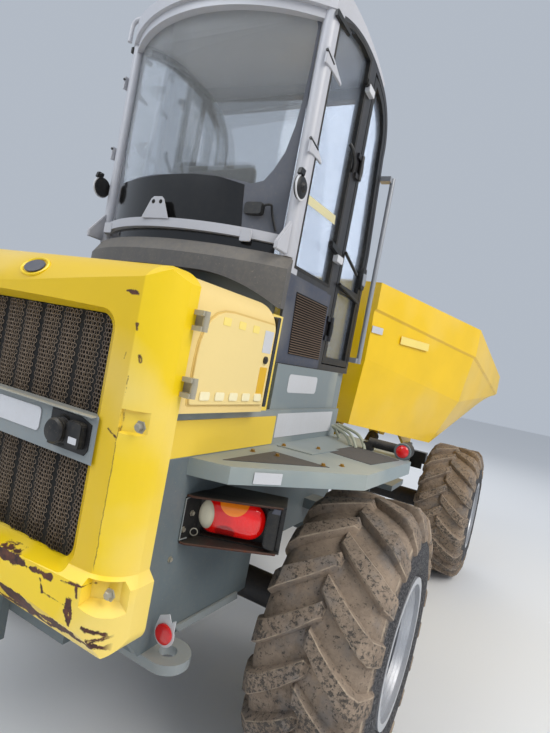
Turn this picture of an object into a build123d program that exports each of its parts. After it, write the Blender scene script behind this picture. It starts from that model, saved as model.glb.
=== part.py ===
from build123d import *
import math
import os

# Articulated site dumper with a cab over the rear wheels and a skip that tips forward.
# Millimetres, +Z up, +Y forward, +X to the driver's right.
# Origin on the ground, under the centre of the machine's outline.

# Overall layout
WHEELBASE = 2800
REAR_OVERHANG = 1270
FRONT_OVERHANG = 950
TRACK = 1930
PIVOT_AHEAD = 1450
REAR_AXLE_Y = (REAR_OVERHANG - WHEELBASE - FRONT_OVERHANG) / 2
FRONT_AXLE_Y = REAR_AXLE_Y + WHEELBASE
REAR_FACE_Y = REAR_AXLE_Y - REAR_OVERHANG
SKIP_TIP_Y = FRONT_AXLE_Y + FRONT_OVERHANG
PIVOT_Y = REAR_AXLE_Y + PIVOT_AHEAD
HALF_TRACK = TRACK / 2

# Clearances
RUN_GAP = 0.3
DOOR_GAP = 6
SIDE_GAP = 5

# Wheels
TYRE_DIAMETER = 1170
TYRE_WIDTH = 500
TYRE_RADIUS = TYRE_DIAMETER / 2
AXLE_Z = TYRE_RADIUS
BEAD_RADIUS = 285
FLANGE_RADIUS = 300
RIM_HALF = 215
RIM_FLANGE = 15
RIM_WALL = 14
DISC_OFFSET = 60
DISC_THICKNESS = 22
HUB_RADIUS = 125
HUB_INNER = 60
HUB_OUTER = 150
SPINDLE_RADIUS = 60
SPINDLE_DEPTH = 80
AXLE_TUBE_RADIUS = 75
AXLE_FLANGE_RADIUS = 140
AXLE_FLANGE = 70
DIFF_RADIUS = 150
DIFF_HALF = 165
AXLE_PAD = 90

# Rear chassis
RAIL_HALF = 360
RAIL_WALL = 25
RAIL_BOTTOM_Z = 700
RAIL_TOP_Z = 1060
RAIL_REAR_Y = REAR_AXLE_Y - 1040
RAIL_FRONT_Y = REAR_AXLE_Y + 1120
POST_WIDTH = 60
POST_DEPTH = 120
REAR_POST_Y = REAR_AXLE_Y - 220
FRONT_POST_Y = REAR_AXLE_Y + 180
MIDDLE_PLATE_Y = REAR_AXLE_Y + 330
DECK_GAP = 180
DECK_Z = TYRE_DIAMETER + DECK_GAP

# Centre joint
SWING_Z = 750
FORK_THICKNESS = 40
FORK_GAP_HALF = 150
FORK_NOSE_RADIUS = 110
FORK_PLATE_BOTTOM_Z = 520
KNUCKLE_RADIUS = 85
KNUCKLE_PIN_RADIUS = 40
SWING_SHAFT_RADIUS = 70
SWING_SHAFT_LENGTH = 330
HOUSING_HALF = 125
HOUSING_START = 130
HOUSING_LENGTH = 180

# Cab
CAB_HALF = 550
CAB_WALL = 45
PANEL_WALL = 22
PILLAR_WIDTH = 58
PILLAR_RADIUS = PILLAR_WIDTH / 2
CAB_REAR_Y = REAR_AXLE_Y - 415
CAB_FRONT_Y = REAR_AXLE_Y + 500
BELT_HEIGHT = 138
TUB_HEIGHT = 182
VENT_HEIGHT = 370
BELT_Z = DECK_Z + BELT_HEIGHT
SILL_Z = BELT_Z + TUB_HEIGHT
VENT_TOP_Z = SILL_Z + VENT_HEIGHT
EAVE_Z = 3090
CROWN_RISE = 92
CROWN_Y = REAR_AXLE_Y - 80
SHOULDER_Y = REAR_AXLE_Y + 250
SHOULDER_RISE = 60
BROW_Y = REAR_AXLE_Y + 383
BROW_DROP = 30
TEMPLE_Y = REAR_AXLE_Y + 437
TEMPLE_DROP = 215
CHEEK_DROP = 740
BOW_DEPTH = 206
HOOP_Z = VENT_TOP_Z + 100
HOOP_HEIGHT = 38
HOOP_DEPTH = 34
B_PILLAR_REAR_Y = REAR_AXLE_Y + 22
B_PILLAR_WIDTH = 90
ROOF_THICKNESS = 45
GLASS_THICKNESS = 8
GLASS_FIT = 2
WINDOW_RAIL = 34
DOOR_RIM = 34
DOOR_RAIL_Z = VENT_TOP_Z + 40
TUB_STEP = 46
TUB_HALF = CAB_HALF + TUB_STEP
TUB_REAR_Y = CAB_REAR_Y - 12
TUB_FRONT_Y = REAR_AXLE_Y + 245
TOE_HALF = CAB_HALF - 20
FLOOR_Z = DECK_Z + 30
FLOOR_THICKNESS = 25
BACK_WALL_Y = CAB_REAR_Y + 20
VENT_LEAN = 70

CAB_PIN_X = CAB_HALF + 12
CAB_PIN_Y = B_PILLAR_REAR_Y + B_PILLAR_WIDTH + DOOR_GAP / 2
CAB_PIN_RADIUS = 11
CAB_KNUCKLE = 70
CAB_HINGES_Z = (SILL_Z + 170, SILL_Z + 970)

# Engine, hood and tail
ENGINE_HALF = 290
ENGINE_REAR_Y = REAR_AXLE_Y - 990
ENGINE_LENGTH = 680
ENGINE_BOTTOM_Z = 860
ENGINE_TOP_Z = 1310
ENGINE_FOOT = 40
BELT_STEP = 24
BELT_HALF = TUB_HALF + BELT_STEP
BELT_FRONT_Y = REAR_AXLE_Y + 285
TAIL_WALL = 22
TAIL_BOTTOM_Z = 765
TAIL_FRONT_Y = REAR_AXLE_Y - TYRE_RADIUS + 185
TAIL_WALL_Y = REAR_AXLE_Y - TYRE_RADIUS - 55
HOOD_STEP = 40
HOOD_HALF = BELT_HALF + HOOD_STEP
SURROUND_HALF = HOOD_HALF + 40
SURROUND_DEPTH = 180
SURROUND_FRONT_Y = REAR_FACE_Y + SURROUND_DEPTH
SURROUND_BOTTOM_Z = 880
SURROUND_TOP_Z = 1880
SURROUND_TOP_CORNER = 105
SURROUND_LOW_CORNER = 45
COLUMN_STEP = 22
LEDGE_Z = 1052
LEDGE_RISE = 24
FACE_BOW = 26
FACE_CORNER_X = SURROUND_HALF - 98
CORNER_DEPTH = 118
TOP_ROUND = 130
CORNER_TURN = 0.3
CORNER_BULGE = 0.34
UNDERCUT = 62
UNDERCUT_Z = SURROUND_BOTTOM_Z + 95
GRILLE_HALF = SURROUND_HALF - 196
GRILLE_BOTTOM_Z = 1064
GRILLE_TOP_Z = 1727
GRILLE_CORNER = 45
GRILLE_INSET = 70
GRILLE_THICKNESS = 14
REVEAL_SIDE = 100
REVEAL_TOP = 28
REVEAL_SILL = 14
CROSSBAR_BOTTOM_Z = 1338
CROSSBAR_TOP_Z = 1462
CROSSBAR_THICKNESS = 32
SOCKET_RADIUS = 40
SOCKET_IN = 72
SOCKET_PROUD = 34
SOCKET_CAP_OUT = 64
SOCKET_CAP_PROUD = 24
SOCKET_CAP_HALF = 24
POCKET_HEIGHTS_Z = (1040, 1470)
POCKET_HALF = 28
POCKET_DEPTH = 34
POCKET_OUT = 10
POCKET_SHORT = 20
POCKET_SCOOP = 26
DOOR_SHELL = 28
SERVICE_HINGE_OUT = 10
SERVICE_PIN_RADIUS = 9
SERVICE_HINGES_Z = (BELT_Z + 71, BELT_Z + 249)
SERVICE_KNUCKLE = 28
SERVICE_STUB = 13
KNUCKLE_STUB = 24
SERVICE_DOOR_TOP_Z = SURROUND_TOP_Z
SERVICE_DOOR_ROUND = 110
SERVICE_DOOR_FLANGE = 150
SERVICE_DOOR_FRONT_Y = REAR_AXLE_Y - 612
BULKHEAD_REAR_Y = REAR_AXLE_Y - 580
BULKHEAD_FRONT_Y = REAR_AXLE_Y - 500
HOOD_TOP_Z = SERVICE_DOOR_TOP_Z - 12
HOOD_SHEET = 22
COVER_HALF = CAB_HALF + 10
COVER_END_Z = SERVICE_DOOR_TOP_Z + 6
COVER_TOP_Z = HOOP_Z - 42
COVER_LIP_Z = 1980
COVER_BOW = 178
COVER_SLOPE = 55
COVER_SLOPE_IN = 34
COVER_WALL = 22
COVER_END_Y = CAB_REAR_Y - 12
COVER_FLAT_SHARE = 0.36
COVER_BEND_SHARE = 0.72
COVER_BEND_DROP = 24

# Fenders and lamps
FENDER_PLATE = 10
FENDER_DROP = 54
FENDER_OUT = 453
FENDER_WIDE = BELT_HALF + FENDER_OUT
FENDER_REAR_CORNER = BELT_HALF + 125
LAMP_REAR_Y = REAR_AXLE_Y - 820
LAMP_TURN_DEG = 25
LAMP_WIDTH = 275
LAMP_DEPTH = 120
LAMP_BOTTOM_Z = DECK_Z - 275
LAMP_TOP_Z = DECK_Z - 122
LENS_INSET = 14
LENS_FIT = 4
LENS_PROUD = 16
LENS_ROUND = 12
TIE_HOLE_RADIUS = 28
TIE_PLATE = 30
TIE_OUT = 46
TIE_Y = REAR_AXLE_Y - 916
TIE_EDGE = 70
MARKER_IN = 43
MARKER_Y = REAR_AXLE_Y + 100
MARKER_ARM = 165
MARKER_Z = DECK_Z + 36
MARKER_RADIUS = 36

# Tow hitch
TOW_PIN_RADIUS = 20
TOW_PIN_BEHIND = 90
TOW_JAW = 70
TOW_PLATE = 30
TOW_LOW_Z = 600
TOW_JAW_GAP = 60
TOW_BACK_HALF = 90
TOW_BACK_TOP_Z = 860

# Driver's place
SEAT_Y = REAR_AXLE_Y - 120
SEAT_HALF = 225
SEAT_TOP_Z = SILL_Z + 190
SEAT_CUSHION = 130
SEAT_LENGTH = 420
SEAT_BACK_HEIGHT = 690
SEAT_BACK_THICKNESS = 110
COLUMN_RADIUS = 32
COLUMN_FOOT_Y = CAB_FRONT_Y - 120
COLUMN_HEAD_Y = REAR_AXLE_Y + 190
COLUMN_HEAD_Z = SILL_Z + 420
WHEEL_RING = 180
WHEEL_GRIP = 15
SPOKE_WIDTH = 26
CONSOLE_IN = 120
CONSOLE_OUT = CAB_HALF - 170
CONSOLE_HEIGHT = 170
CONSOLE_DEPTH = 130

# Rails and steps
GRAB_RADIUS = 14
GRAB_OUT = 40
GRAB_AHEAD = 45
GRAB_LOW_Z = SILL_Z + 70
GRAB_HIGH_Z = SILL_Z + 1130
STEP_REAR_Y = REAR_AXLE_Y + TYRE_RADIUS + 55
STEP_LENGTH = 270
STEP_PLATE = 30
STEP_IN_X = BELT_HALF + 20
STEP_OUT_X = STEP_IN_X + 250
STEP_HEIGHTS_Z = (530, 800, 1070)
STEP_POST = 14
STEP_POST_WIDTH = 60
HEADLAMP_IN = 440
HEADLAMP_OUT = 600
HEADLAMP_Z = 840
HEADLAMP_HEIGHT = 120
HEADLAMP_ARM = 30

# Skip
SKIP_REAR_Y = REAR_AXLE_Y + 775
SKIP_WALL = 10
SKIP_BEND_AHEAD = 1270
BAND_STEP = 14
TIP_AXIS_Y = FRONT_AXLE_Y + 420
TIP_AXIS_Z = 980
TIP_RANGE_DEG = 55
TIP_PIN_RADIUS = 32
EAR_THICKNESS = 30
EAR_RADIUS = 75
TIP_EAR_X = 400
EAR_BEHIND = 700
EAR_AHEAD = 150
RIB_TOP_Z = 1600
RIB_BOTTOM_Z = 1260
LUG_SPREAD = 120
CROSS_RIB_BEHIND = 220
RAM_X = 215
RAM_BASE_Y = FRONT_AXLE_Y - 870
RAM_BASE_Z = 720
RAM_EYE_Y = FRONT_AXLE_Y - 180
RAM_EYE_Z = 1180
RAM_RADIUS = 55
RAM_ROD_RADIUS = 32
RAM_EYE_RADIUS = 48
RAM_EYE_WIDTH = 70
RAM_PIN_RADIUS = 22
RAM_NECK = 62
RAM_BARREL_SHARE = 0.86

# Front chassis
FRONT_RAIL_HALF = 330
FRONT_RAIL_WALL = 30
FRONT_RAIL_BOTTOM_Z = 670
FRONT_RAIL_TOP_Z = 900
FRONT_RAIL_FRONT_Y = TIP_AXIS_Y + 130
HOUSING_PLATE = 30

# Steering ram
STEER_X = 235
STEER_BASE_BEHIND = 520
STEER_Z = SWING_Z
STEER_RADIUS = 38
STEER_ROD_RADIUS = 22
STEER_EYE_RADIUS = 38
STEER_EYE_WIDTH = 40
STEER_PIN_RADIUS = 18
STEER_NECK = 52
STEER_LUG = 22


def block(x0, x1, y0, y1, z0, z1):
    """A box between two corners."""
    centre = Pos((x0 + x1) / 2, (y0 + y1) / 2, (z0 + z1) / 2)
    return centre * Box(abs(x1 - x0), abs(y1 - y0), abs(z1 - z0))


def bar_x(radius, x0, x1, y, z):
    """A round bar along X."""
    return Pos((x0 + x1) / 2, y, z) * Rot(0, 90, 0) * Cylinder(radius, abs(x1 - x0))


def bar_y(radius, y0, y1, x, z):
    """A round bar along Y."""
    return Pos(x, (y0 + y1) / 2, z) * Rot(90, 0, 0) * Cylinder(radius, abs(y1 - y0))


def bar_z(radius, z0, z1, x, y):
    """A round bar along Z."""
    return Pos(x, y, (z0 + z1) / 2) * Cylinder(radius, abs(z1 - z0))


def both(shape):
    """A piece and its mirror image on the other side."""
    return shape + mirror(shape, about=Plane.YZ)


def on_left(shape):
    """The left-hand copy of a right-hand piece."""
    return mirror(shape, about=Plane.YZ)


def side_plate(points, x0, x1):
    """A plate parallel to the YZ plane, from (y, z) points."""
    face = make_face(Polyline(*[(x0, y, z) for y, z in points], close=True))
    return extrude(face, amount=x1 - x0, dir=(1, 0, 0))


def flat_plate(points, z0, z1):
    """A level plate, from (x, y) points."""
    face = make_face(Polyline(*[(x, y, z0) for x, y in points], close=True))
    return extrude(face, amount=z1 - z0, dir=(0, 0, 1))


def wheel_ring(points, x, y):
    """A ring about the axle, from (distance outwards, radius) points on the right-hand side."""
    outline = Polyline(*[(x + out, y, AXLE_Z + radius) for out, radius in points], close=True)
    return revolve(make_face(outline), axis=Axis((x, y, AXLE_Z), (1, 0, 0)), revolution_arc=360)


def leaning_bar(radius, start, end):
    """A round bar between two points."""
    a = Vector(*start)
    b = Vector(*end)
    plane = Plane(origin=a, z_dir=b - a)
    return plane * Pos(0, 0, (b - a).length / 2) * Cylinder(radius, (b - a).length)


def tyre(x, y):
    """A wide flotation tyre on its bead seat, out to the tips of its lugs."""
    half = TYRE_WIDTH / 2
    bead = RIM_HALF - 3
    right_half = [
        (bead, BEAD_RADIUS),
        (bead, FLANGE_RADIUS + 5),
        (half, FLANGE_RADIUS + 85),
        (half, TYRE_RADIUS - 105),
        (half - 32, TYRE_RADIUS - 25),
        (half - 70, TYRE_RADIUS),
    ]
    points = right_half + [(-out, radius) for out, radius in reversed(right_half)]
    return wheel_ring(points, x, y)


def rim(x, y):
    """A dished steel rim with its hub, bored for the spindle."""
    barrel = wheel_ring(
        [
            (-RIM_HALF, BEAD_RADIUS - RIM_WALL),
            (RIM_HALF, BEAD_RADIUS - RIM_WALL),
            (RIM_HALF, BEAD_RADIUS),
            (-RIM_HALF, BEAD_RADIUS),
        ],
        x,
        y,
    )
    for side in (-1, 1):
        flange = wheel_ring(
            [
                (side * RIM_HALF, BEAD_RADIUS - RIM_WALL),
                (side * (RIM_HALF + RIM_FLANGE), BEAD_RADIUS - RIM_WALL),
                (side * (RIM_HALF + RIM_FLANGE), FLANGE_RADIUS),
                (side * RIM_HALF, FLANGE_RADIUS),
            ],
            x,
            y,
        )
        barrel += flange
    disc_x = x + DISC_OFFSET
    disc = bar_x(BEAD_RADIUS - RIM_WALL + 2, disc_x, disc_x + DISC_THICKNESS, y, AXLE_Z)
    hub = bar_x(HUB_RADIUS, x - HUB_INNER, x + HUB_OUTER, y, AXLE_Z)
    bore_end = x - HUB_INNER + SPINDLE_DEPTH + SIDE_GAP
    bore = bar_x(SPINDLE_RADIUS + RUN_GAP, x - HUB_INNER - 1, bore_end, y, AXLE_Z)
    return barrel + disc + hub - bore


def axle(y, pad_half, pad_top):
    """A beam axle with its differential, end flanges, spindles and mounting pads."""
    flange_end = HALF_TRACK - HUB_INNER - SIDE_GAP
    body = bar_x(AXLE_TUBE_RADIUS, -flange_end, flange_end, y, AXLE_Z)
    body += bar_x(DIFF_RADIUS, -DIFF_HALF, DIFF_HALF, y, AXLE_Z)
    for side in (-1, 1):
        flange_x = side * flange_end
        body += bar_x(AXLE_FLANGE_RADIUS, flange_x - side * AXLE_FLANGE, flange_x, y, AXLE_Z)
        spindle_end = side * (HALF_TRACK - HUB_INNER + SPINDLE_DEPTH)
        body += bar_x(SPINDLE_RADIUS, flange_x, spindle_end, y, AXLE_Z)
        pad_inner = side * (pad_half - RAIL_WALL * 3)
        body += block(pad_inner, side * pad_half, y - AXLE_PAD, y + AXLE_PAD, AXLE_Z, pad_top)
    return body


def rear_chassis():
    """Two rails, cross plates, the tail boxes, cab posts and the fork for the centre pin."""
    rail = block(
        RAIL_HALF - RAIL_WALL, RAIL_HALF, RAIL_REAR_Y, RAIL_FRONT_Y, RAIL_BOTTOM_Z, RAIL_TOP_Z
    )
    body = both(rail)
    inner = RAIL_HALF - RAIL_WALL
    for y in (RAIL_REAR_Y, MIDDLE_PLATE_Y):
        body += block(-inner, inner, y, y + RAIL_WALL, RAIL_BOTTOM_Z, RAIL_TOP_Z)
    nose_y = RAIL_FRONT_Y - RAIL_WALL
    body += block(
        -RAIL_HALF, RAIL_HALF, nose_y, RAIL_FRONT_Y, FORK_PLATE_BOTTOM_Z, RAIL_TOP_Z
    )

    tail_side = side_plate(
        [
            (SURROUND_FRONT_Y, SURROUND_BOTTOM_Z),
            (SURROUND_FRONT_Y + 90, TAIL_BOTTOM_Z),
            (TAIL_FRONT_Y, TAIL_BOTTOM_Z),
            (TAIL_FRONT_Y, DECK_Z),
            (SURROUND_FRONT_Y, DECK_Z),
        ],
        BELT_HALF - TAIL_WALL,
        BELT_HALF,
    )
    tail_floor = block(
        RAIL_HALF, BELT_HALF, SURROUND_FRONT_Y + 90, TAIL_WALL_Y, TAIL_BOTTOM_Z, TAIL_BOTTOM_Z + TAIL_WALL
    )
    tail_wall = block(
        RAIL_HALF, BELT_HALF, TAIL_WALL_Y - TAIL_WALL, TAIL_WALL_Y, TAIL_BOTTOM_Z, DECK_Z
    )
    body += both(tail_side + tail_floor + tail_wall)

    for y in (REAR_POST_Y, FRONT_POST_Y):
        post = block(
            RAIL_HALF - POST_WIDTH,
            RAIL_HALF,
            y - POST_DEPTH / 2,
            y + POST_DEPTH / 2,
            RAIL_TOP_Z,
            DECK_Z,
        )
        body += both(post)

    for side in (-1, 1):
        if side > 0:
            low = SWING_Z + FORK_GAP_HALF
        else:
            low = SWING_Z - FORK_GAP_HALF - FORK_THICKNESS
        high = low + FORK_THICKNESS
        web = flat_plate(
            [
                (-RAIL_HALF, RAIL_FRONT_Y),
                (RAIL_HALF, RAIL_FRONT_Y),
                (FORK_NOSE_RADIUS, PIVOT_Y),
                (-FORK_NOSE_RADIUS, PIVOT_Y),
            ],
            low,
            high,
        )
        web += bar_z(FORK_NOSE_RADIUS, low, high, 0, PIVOT_Y)
        web -= bar_z(KNUCKLE_PIN_RADIUS + RUN_GAP, low, high, 0, PIVOT_Y)
        body += web

    base_y = PIVOT_Y - STEER_BASE_BEHIND
    for side in (-1, 1):
        near = STEER_EYE_WIDTH / 2 + SIDE_GAP
        low = STEER_Z + side * near
        high = STEER_Z + side * (near + STEER_LUG)
        body += block(
            STEER_X - STEER_EYE_RADIUS,
            RAIL_HALF - RAIL_WALL,
            base_y - STEER_EYE_RADIUS,
            base_y + STEER_EYE_RADIUS,
            low,
            high,
        )
    pin_reach = STEER_EYE_WIDTH / 2 + SIDE_GAP
    body += bar_z(STEER_PIN_RADIUS, STEER_Z - pin_reach, STEER_Z + pin_reach, STEER_X, base_y)
    slot = block(
        STEER_X - STEER_EYE_RADIUS - 30,
        STEER_X + STEER_EYE_RADIUS + 50,
        nose_y - 1,
        RAIL_FRONT_Y + 1,
        STEER_Z - STEER_EYE_RADIUS - 22,
        STEER_Z + STEER_EYE_RADIUS + 22,
    )
    body -= slot
    return body


def centre_knuckle():
    """The steering block on its upright pins, with the shaft that the front frame swings on."""
    inner = FORK_GAP_HALF - SIDE_GAP
    reach = FORK_GAP_HALF + FORK_THICKNESS
    body = bar_z(KNUCKLE_RADIUS, SWING_Z - inner, SWING_Z + inner, 0, PIVOT_Y)
    body += bar_z(KNUCKLE_PIN_RADIUS, SWING_Z - reach, SWING_Z + reach, 0, PIVOT_Y)
    body += bar_y(SWING_SHAFT_RADIUS, PIVOT_Y, PIVOT_Y + SWING_SHAFT_LENGTH, 0, SWING_Z)
    collar_y = PIVOT_Y + HOUSING_START + HOUSING_LENGTH + SIDE_GAP
    body += bar_y(SWING_SHAFT_RADIUS + 30, collar_y, PIVOT_Y + SWING_SHAFT_LENGTH, 0, SWING_Z)
    for side in (-1, 1):
        near = STEER_EYE_WIDTH / 2 + SIDE_GAP
        low = STEER_Z + side * near
        high = STEER_Z + side * (near + STEER_LUG)
        lug = block(0, STEER_X, PIVOT_Y - STEER_EYE_RADIUS, PIVOT_Y + STEER_EYE_RADIUS, low, high)
        lug += bar_z(STEER_EYE_RADIUS, low, high, STEER_X, PIVOT_Y)
        body += lug
    return body


def steer_barrel():
    """The steering ram's barrel, on its pin in the rear chassis."""
    base_y = PIVOT_Y - STEER_BASE_BEHIND
    front_y = PIVOT_Y - STEER_EYE_RADIUS - 170
    half = STEER_EYE_WIDTH / 2
    body = bar_z(STEER_EYE_RADIUS, STEER_Z - half, STEER_Z + half, STEER_X, base_y)
    body += bar_y(STEER_PIN_RADIUS, base_y, base_y + STEER_NECK, STEER_X, STEER_Z)
    body += bar_y(STEER_RADIUS, base_y + STEER_NECK, front_y, STEER_X, STEER_Z)
    body -= bar_z(STEER_PIN_RADIUS + RUN_GAP, STEER_Z - 100, STEER_Z + 100, STEER_X, base_y)
    bore_y = base_y + STEER_NECK + 12
    body -= bar_y(STEER_ROD_RADIUS + RUN_GAP, bore_y, front_y + 1, STEER_X, STEER_Z)
    return body


def steer_rod():
    """The steering ram's rod, with its open-ended eye between the knuckle's lugs."""
    base_y = PIVOT_Y - STEER_BASE_BEHIND
    half = STEER_EYE_WIDTH / 2
    tail_y = base_y + STEER_NECK + 12 + 140
    body = bar_y(STEER_ROD_RADIUS, tail_y, PIVOT_Y - STEER_EYE_RADIUS / 2, STEER_X, STEER_Z)
    body += bar_z(STEER_EYE_RADIUS, STEER_Z - half, STEER_Z + half, STEER_X, PIVOT_Y)
    body -= bar_z(STEER_PIN_RADIUS, STEER_Z - half - 1, STEER_Z + half + 1, STEER_X, PIVOT_Y)
    return body


def front_chassis():
    """Rails under the skip, the swing housing, the tip pivot ears and the ram brackets."""
    start_y = PIVOT_Y + HOUSING_START
    inner = FRONT_RAIL_HALF - FRONT_RAIL_WALL
    rail = block(
        inner, FRONT_RAIL_HALF, start_y, FRONT_RAIL_FRONT_Y, FRONT_RAIL_BOTTOM_Z, FRONT_RAIL_TOP_Z
    )
    body = both(rail)
    housing_end = start_y + HOUSING_LENGTH
    body += block(
        -HOUSING_HALF,
        HOUSING_HALF,
        start_y,
        housing_end,
        SWING_Z - HOUSING_HALF,
        SWING_Z + HOUSING_HALF,
    )
    body += block(
        -inner,
        inner,
        start_y,
        start_y + HOUSING_PLATE,
        FRONT_RAIL_BOTTOM_Z,
        FRONT_RAIL_TOP_Z,
    )
    body -= bar_y(SWING_SHAFT_RADIUS + RUN_GAP, start_y - 1, housing_end + 1, 0, SWING_Z)
    cross_y = FRONT_RAIL_FRONT_Y - HOUSING_PLATE
    body += block(-inner, inner, cross_y, FRONT_RAIL_FRONT_Y, FRONT_RAIL_BOTTOM_Z, FRONT_RAIL_TOP_Z)

    near = EAR_THICKNESS / 2 + SIDE_GAP
    for offset in (-near - EAR_THICKNESS, near):
        x0 = TIP_EAR_X + offset
        ear = block(
            x0,
            x0 + EAR_THICKNESS,
            TIP_AXIS_Y - EAR_RADIUS,
            TIP_AXIS_Y + EAR_RADIUS,
            FRONT_RAIL_BOTTOM_Z + 80,
            TIP_AXIS_Z,
        )
        ear += bar_x(EAR_RADIUS, x0, x0 + EAR_THICKNESS, TIP_AXIS_Y, TIP_AXIS_Z)
        body += both(ear)
    saddle = block(
        inner,
        TIP_EAR_X + near + EAR_THICKNESS,
        TIP_AXIS_Y - EAR_RADIUS,
        TIP_AXIS_Y + EAR_RADIUS,
        FRONT_RAIL_BOTTOM_Z + 50,
        FRONT_RAIL_BOTTOM_Z + 80,
    )
    body += both(saddle)
    pin = bar_x(TIP_PIN_RADIUS, TIP_EAR_X - near, TIP_EAR_X + near, TIP_AXIS_Y, TIP_AXIS_Z)
    body += both(pin)

    eye_near = RAM_EYE_WIDTH / 2 + SIDE_GAP
    bridge = block(
        -inner,
        inner,
        RAM_BASE_Y - RAM_EYE_RADIUS - 55,
        RAM_BASE_Y - RAM_EYE_RADIUS - 25,
        FRONT_RAIL_BOTTOM_Z,
        FRONT_RAIL_TOP_Z,
    )
    body += bridge
    for offset in (-eye_near - EAR_THICKNESS, eye_near):
        x0 = RAM_X + offset
        ear = block(
            x0,
            x0 + EAR_THICKNESS,
            RAM_BASE_Y - RAM_EYE_RADIUS - 30,
            RAM_BASE_Y,
            RAM_BASE_Z - RAM_EYE_RADIUS,
            RAM_BASE_Z + RAM_EYE_RADIUS,
        )
        ear += bar_x(RAM_EYE_RADIUS, x0, x0 + EAR_THICKNESS, RAM_BASE_Y, RAM_BASE_Z)
        body += both(ear)
    body += both(bar_x(RAM_PIN_RADIUS, RAM_X - eye_near, RAM_X + eye_near, RAM_BASE_Y, RAM_BASE_Z))
    body -= bar_y(
        SWING_SHAFT_RADIUS + 30 + SIDE_GAP, housing_end, PIVOT_Y + SWING_SHAFT_LENGTH + 20, 0, SWING_Z
    )
    return body


def ram_frame():
    """The plane of the tip rams at rest: origin at the base pin, Z along the rod."""
    run = Vector(0, RAM_EYE_Y - RAM_BASE_Y, RAM_EYE_Z - RAM_BASE_Z)
    return Plane(origin=(0, RAM_BASE_Y, RAM_BASE_Z), x_dir=(1, 0, 0), z_dir=run), run.length


def tip_barrel():
    """One tip ram's barrel, bored for its rod."""
    plane, length = ram_frame()
    barrel_end = length * RAM_BARREL_SHARE
    local = Pos(RAM_X, 0, (barrel_end + RAM_NECK) / 2) * Cylinder(RAM_RADIUS, barrel_end - RAM_NECK)
    local += Pos(RAM_X, 0, RAM_NECK / 2) * Cylinder(RAM_ROD_RADIUS - 4, RAM_NECK)
    local += Pos(RAM_X, 0, 0) * Rot(0, 90, 0) * Cylinder(RAM_EYE_RADIUS, RAM_EYE_WIDTH)
    local -= Pos(RAM_X, 0, 0) * Rot(0, 90, 0) * Cylinder(RAM_PIN_RADIUS + RUN_GAP, RAM_EYE_WIDTH * 3)
    bore_start = RAM_NECK + 15
    bore = Pos(RAM_X, 0, (bore_start + barrel_end + 1) / 2) * Cylinder(
        RAM_ROD_RADIUS + RUN_GAP, barrel_end + 1 - bore_start
    )
    return plane * (local - bore)


def tip_rod():
    """One tip ram's rod, with its eye between the skip's ears."""
    plane, length = ram_frame()
    tail = RAM_NECK + 20
    local = Pos(RAM_X, 0, (tail + length - RAM_EYE_RADIUS / 2) / 2) * Cylinder(
        RAM_ROD_RADIUS, length - RAM_EYE_RADIUS / 2 - tail
    )
    local += Pos(RAM_X, 0, length) * Rot(0, 90, 0) * Cylinder(RAM_EYE_RADIUS, RAM_EYE_WIDTH)
    local -= Pos(RAM_X, 0, length) * Rot(0, 90, 0) * Cylinder(RAM_PIN_RADIUS, RAM_EYE_WIDTH * 2)
    return plane * local


# Skip sections: distance ahead of the skip's rear wall, then half width and height
# of the rim, of the crease and of the floor edge.
SKIP_SECTIONS = [
    # ahead, rim half, rim z, band height, crease half, crease z, floor half, floor z
    (0, 568, 2258, 162, 553, 1785, 525, 1366),
    (SKIP_BEND_AHEAD, 1040, 2200, 218, 975, 1605, 812, 1228),
    (SKIP_TIP_Y - SKIP_REAR_Y, 1140, 1925, 190, 1120, 1715, 1050, 1690),
]


def skip_row(ahead):
    """The section's measures at any distance, along the table's straight runs."""
    rows = SKIP_SECTIONS
    first = rows[0]
    second = rows[1]
    if ahead > rows[1][0]:
        first = rows[1]
        second = rows[2]
    share = (ahead - first[0]) / (second[0] - first[0])
    return [a + (b - a) * share for a, b in zip(first, second)]


def skip_section(ahead, inset, lift):
    """One closed section of the skip: its outside, or its inside when inset."""
    _, rim_half, rim_z, band, crease_half, crease_z, floor_half, floor_z = skip_row(ahead)
    y = SKIP_REAR_Y + ahead
    if inset:
        right = [
            (crease_half + 4 - inset, rim_z + lift),
            (crease_half + 4 - inset, rim_z - band),
            (crease_half - inset, crease_z),
            (floor_half - inset * 0.8, floor_z + inset),
        ]
    else:
        right = [
            (rim_half, rim_z),
            (rim_half, rim_z - band),
            (rim_half - BAND_STEP, rim_z - band - BAND_STEP),
            (crease_half, crease_z),
            (floor_half, floor_z),
        ]
    points = [(x, y, z) for x, z in right] + [(-x, y, z) for x, z in reversed(right)]
    return make_face(Polyline(*points, close=True))


def skip_outside():
    """The skip's whole outer form."""
    stations = [row[0] for row in SKIP_SECTIONS]
    body = Part()
    for a, b in zip(stations, stations[1:]):
        body += loft([skip_section(a, 0, 0), skip_section(b, 0, 0)], ruled=True)
    return body


def skip_inside():
    """The load space, open at the top and over the front lip."""
    stations = [SKIP_WALL, SKIP_SECTIONS[1][0], SKIP_SECTIONS[2][0] + 60]
    body = Part()
    for a, b in zip(stations, stations[1:]):
        body += loft([skip_section(a, SKIP_WALL, 120), skip_section(b, SKIP_WALL, 120)], ruled=True)
    return body


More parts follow.
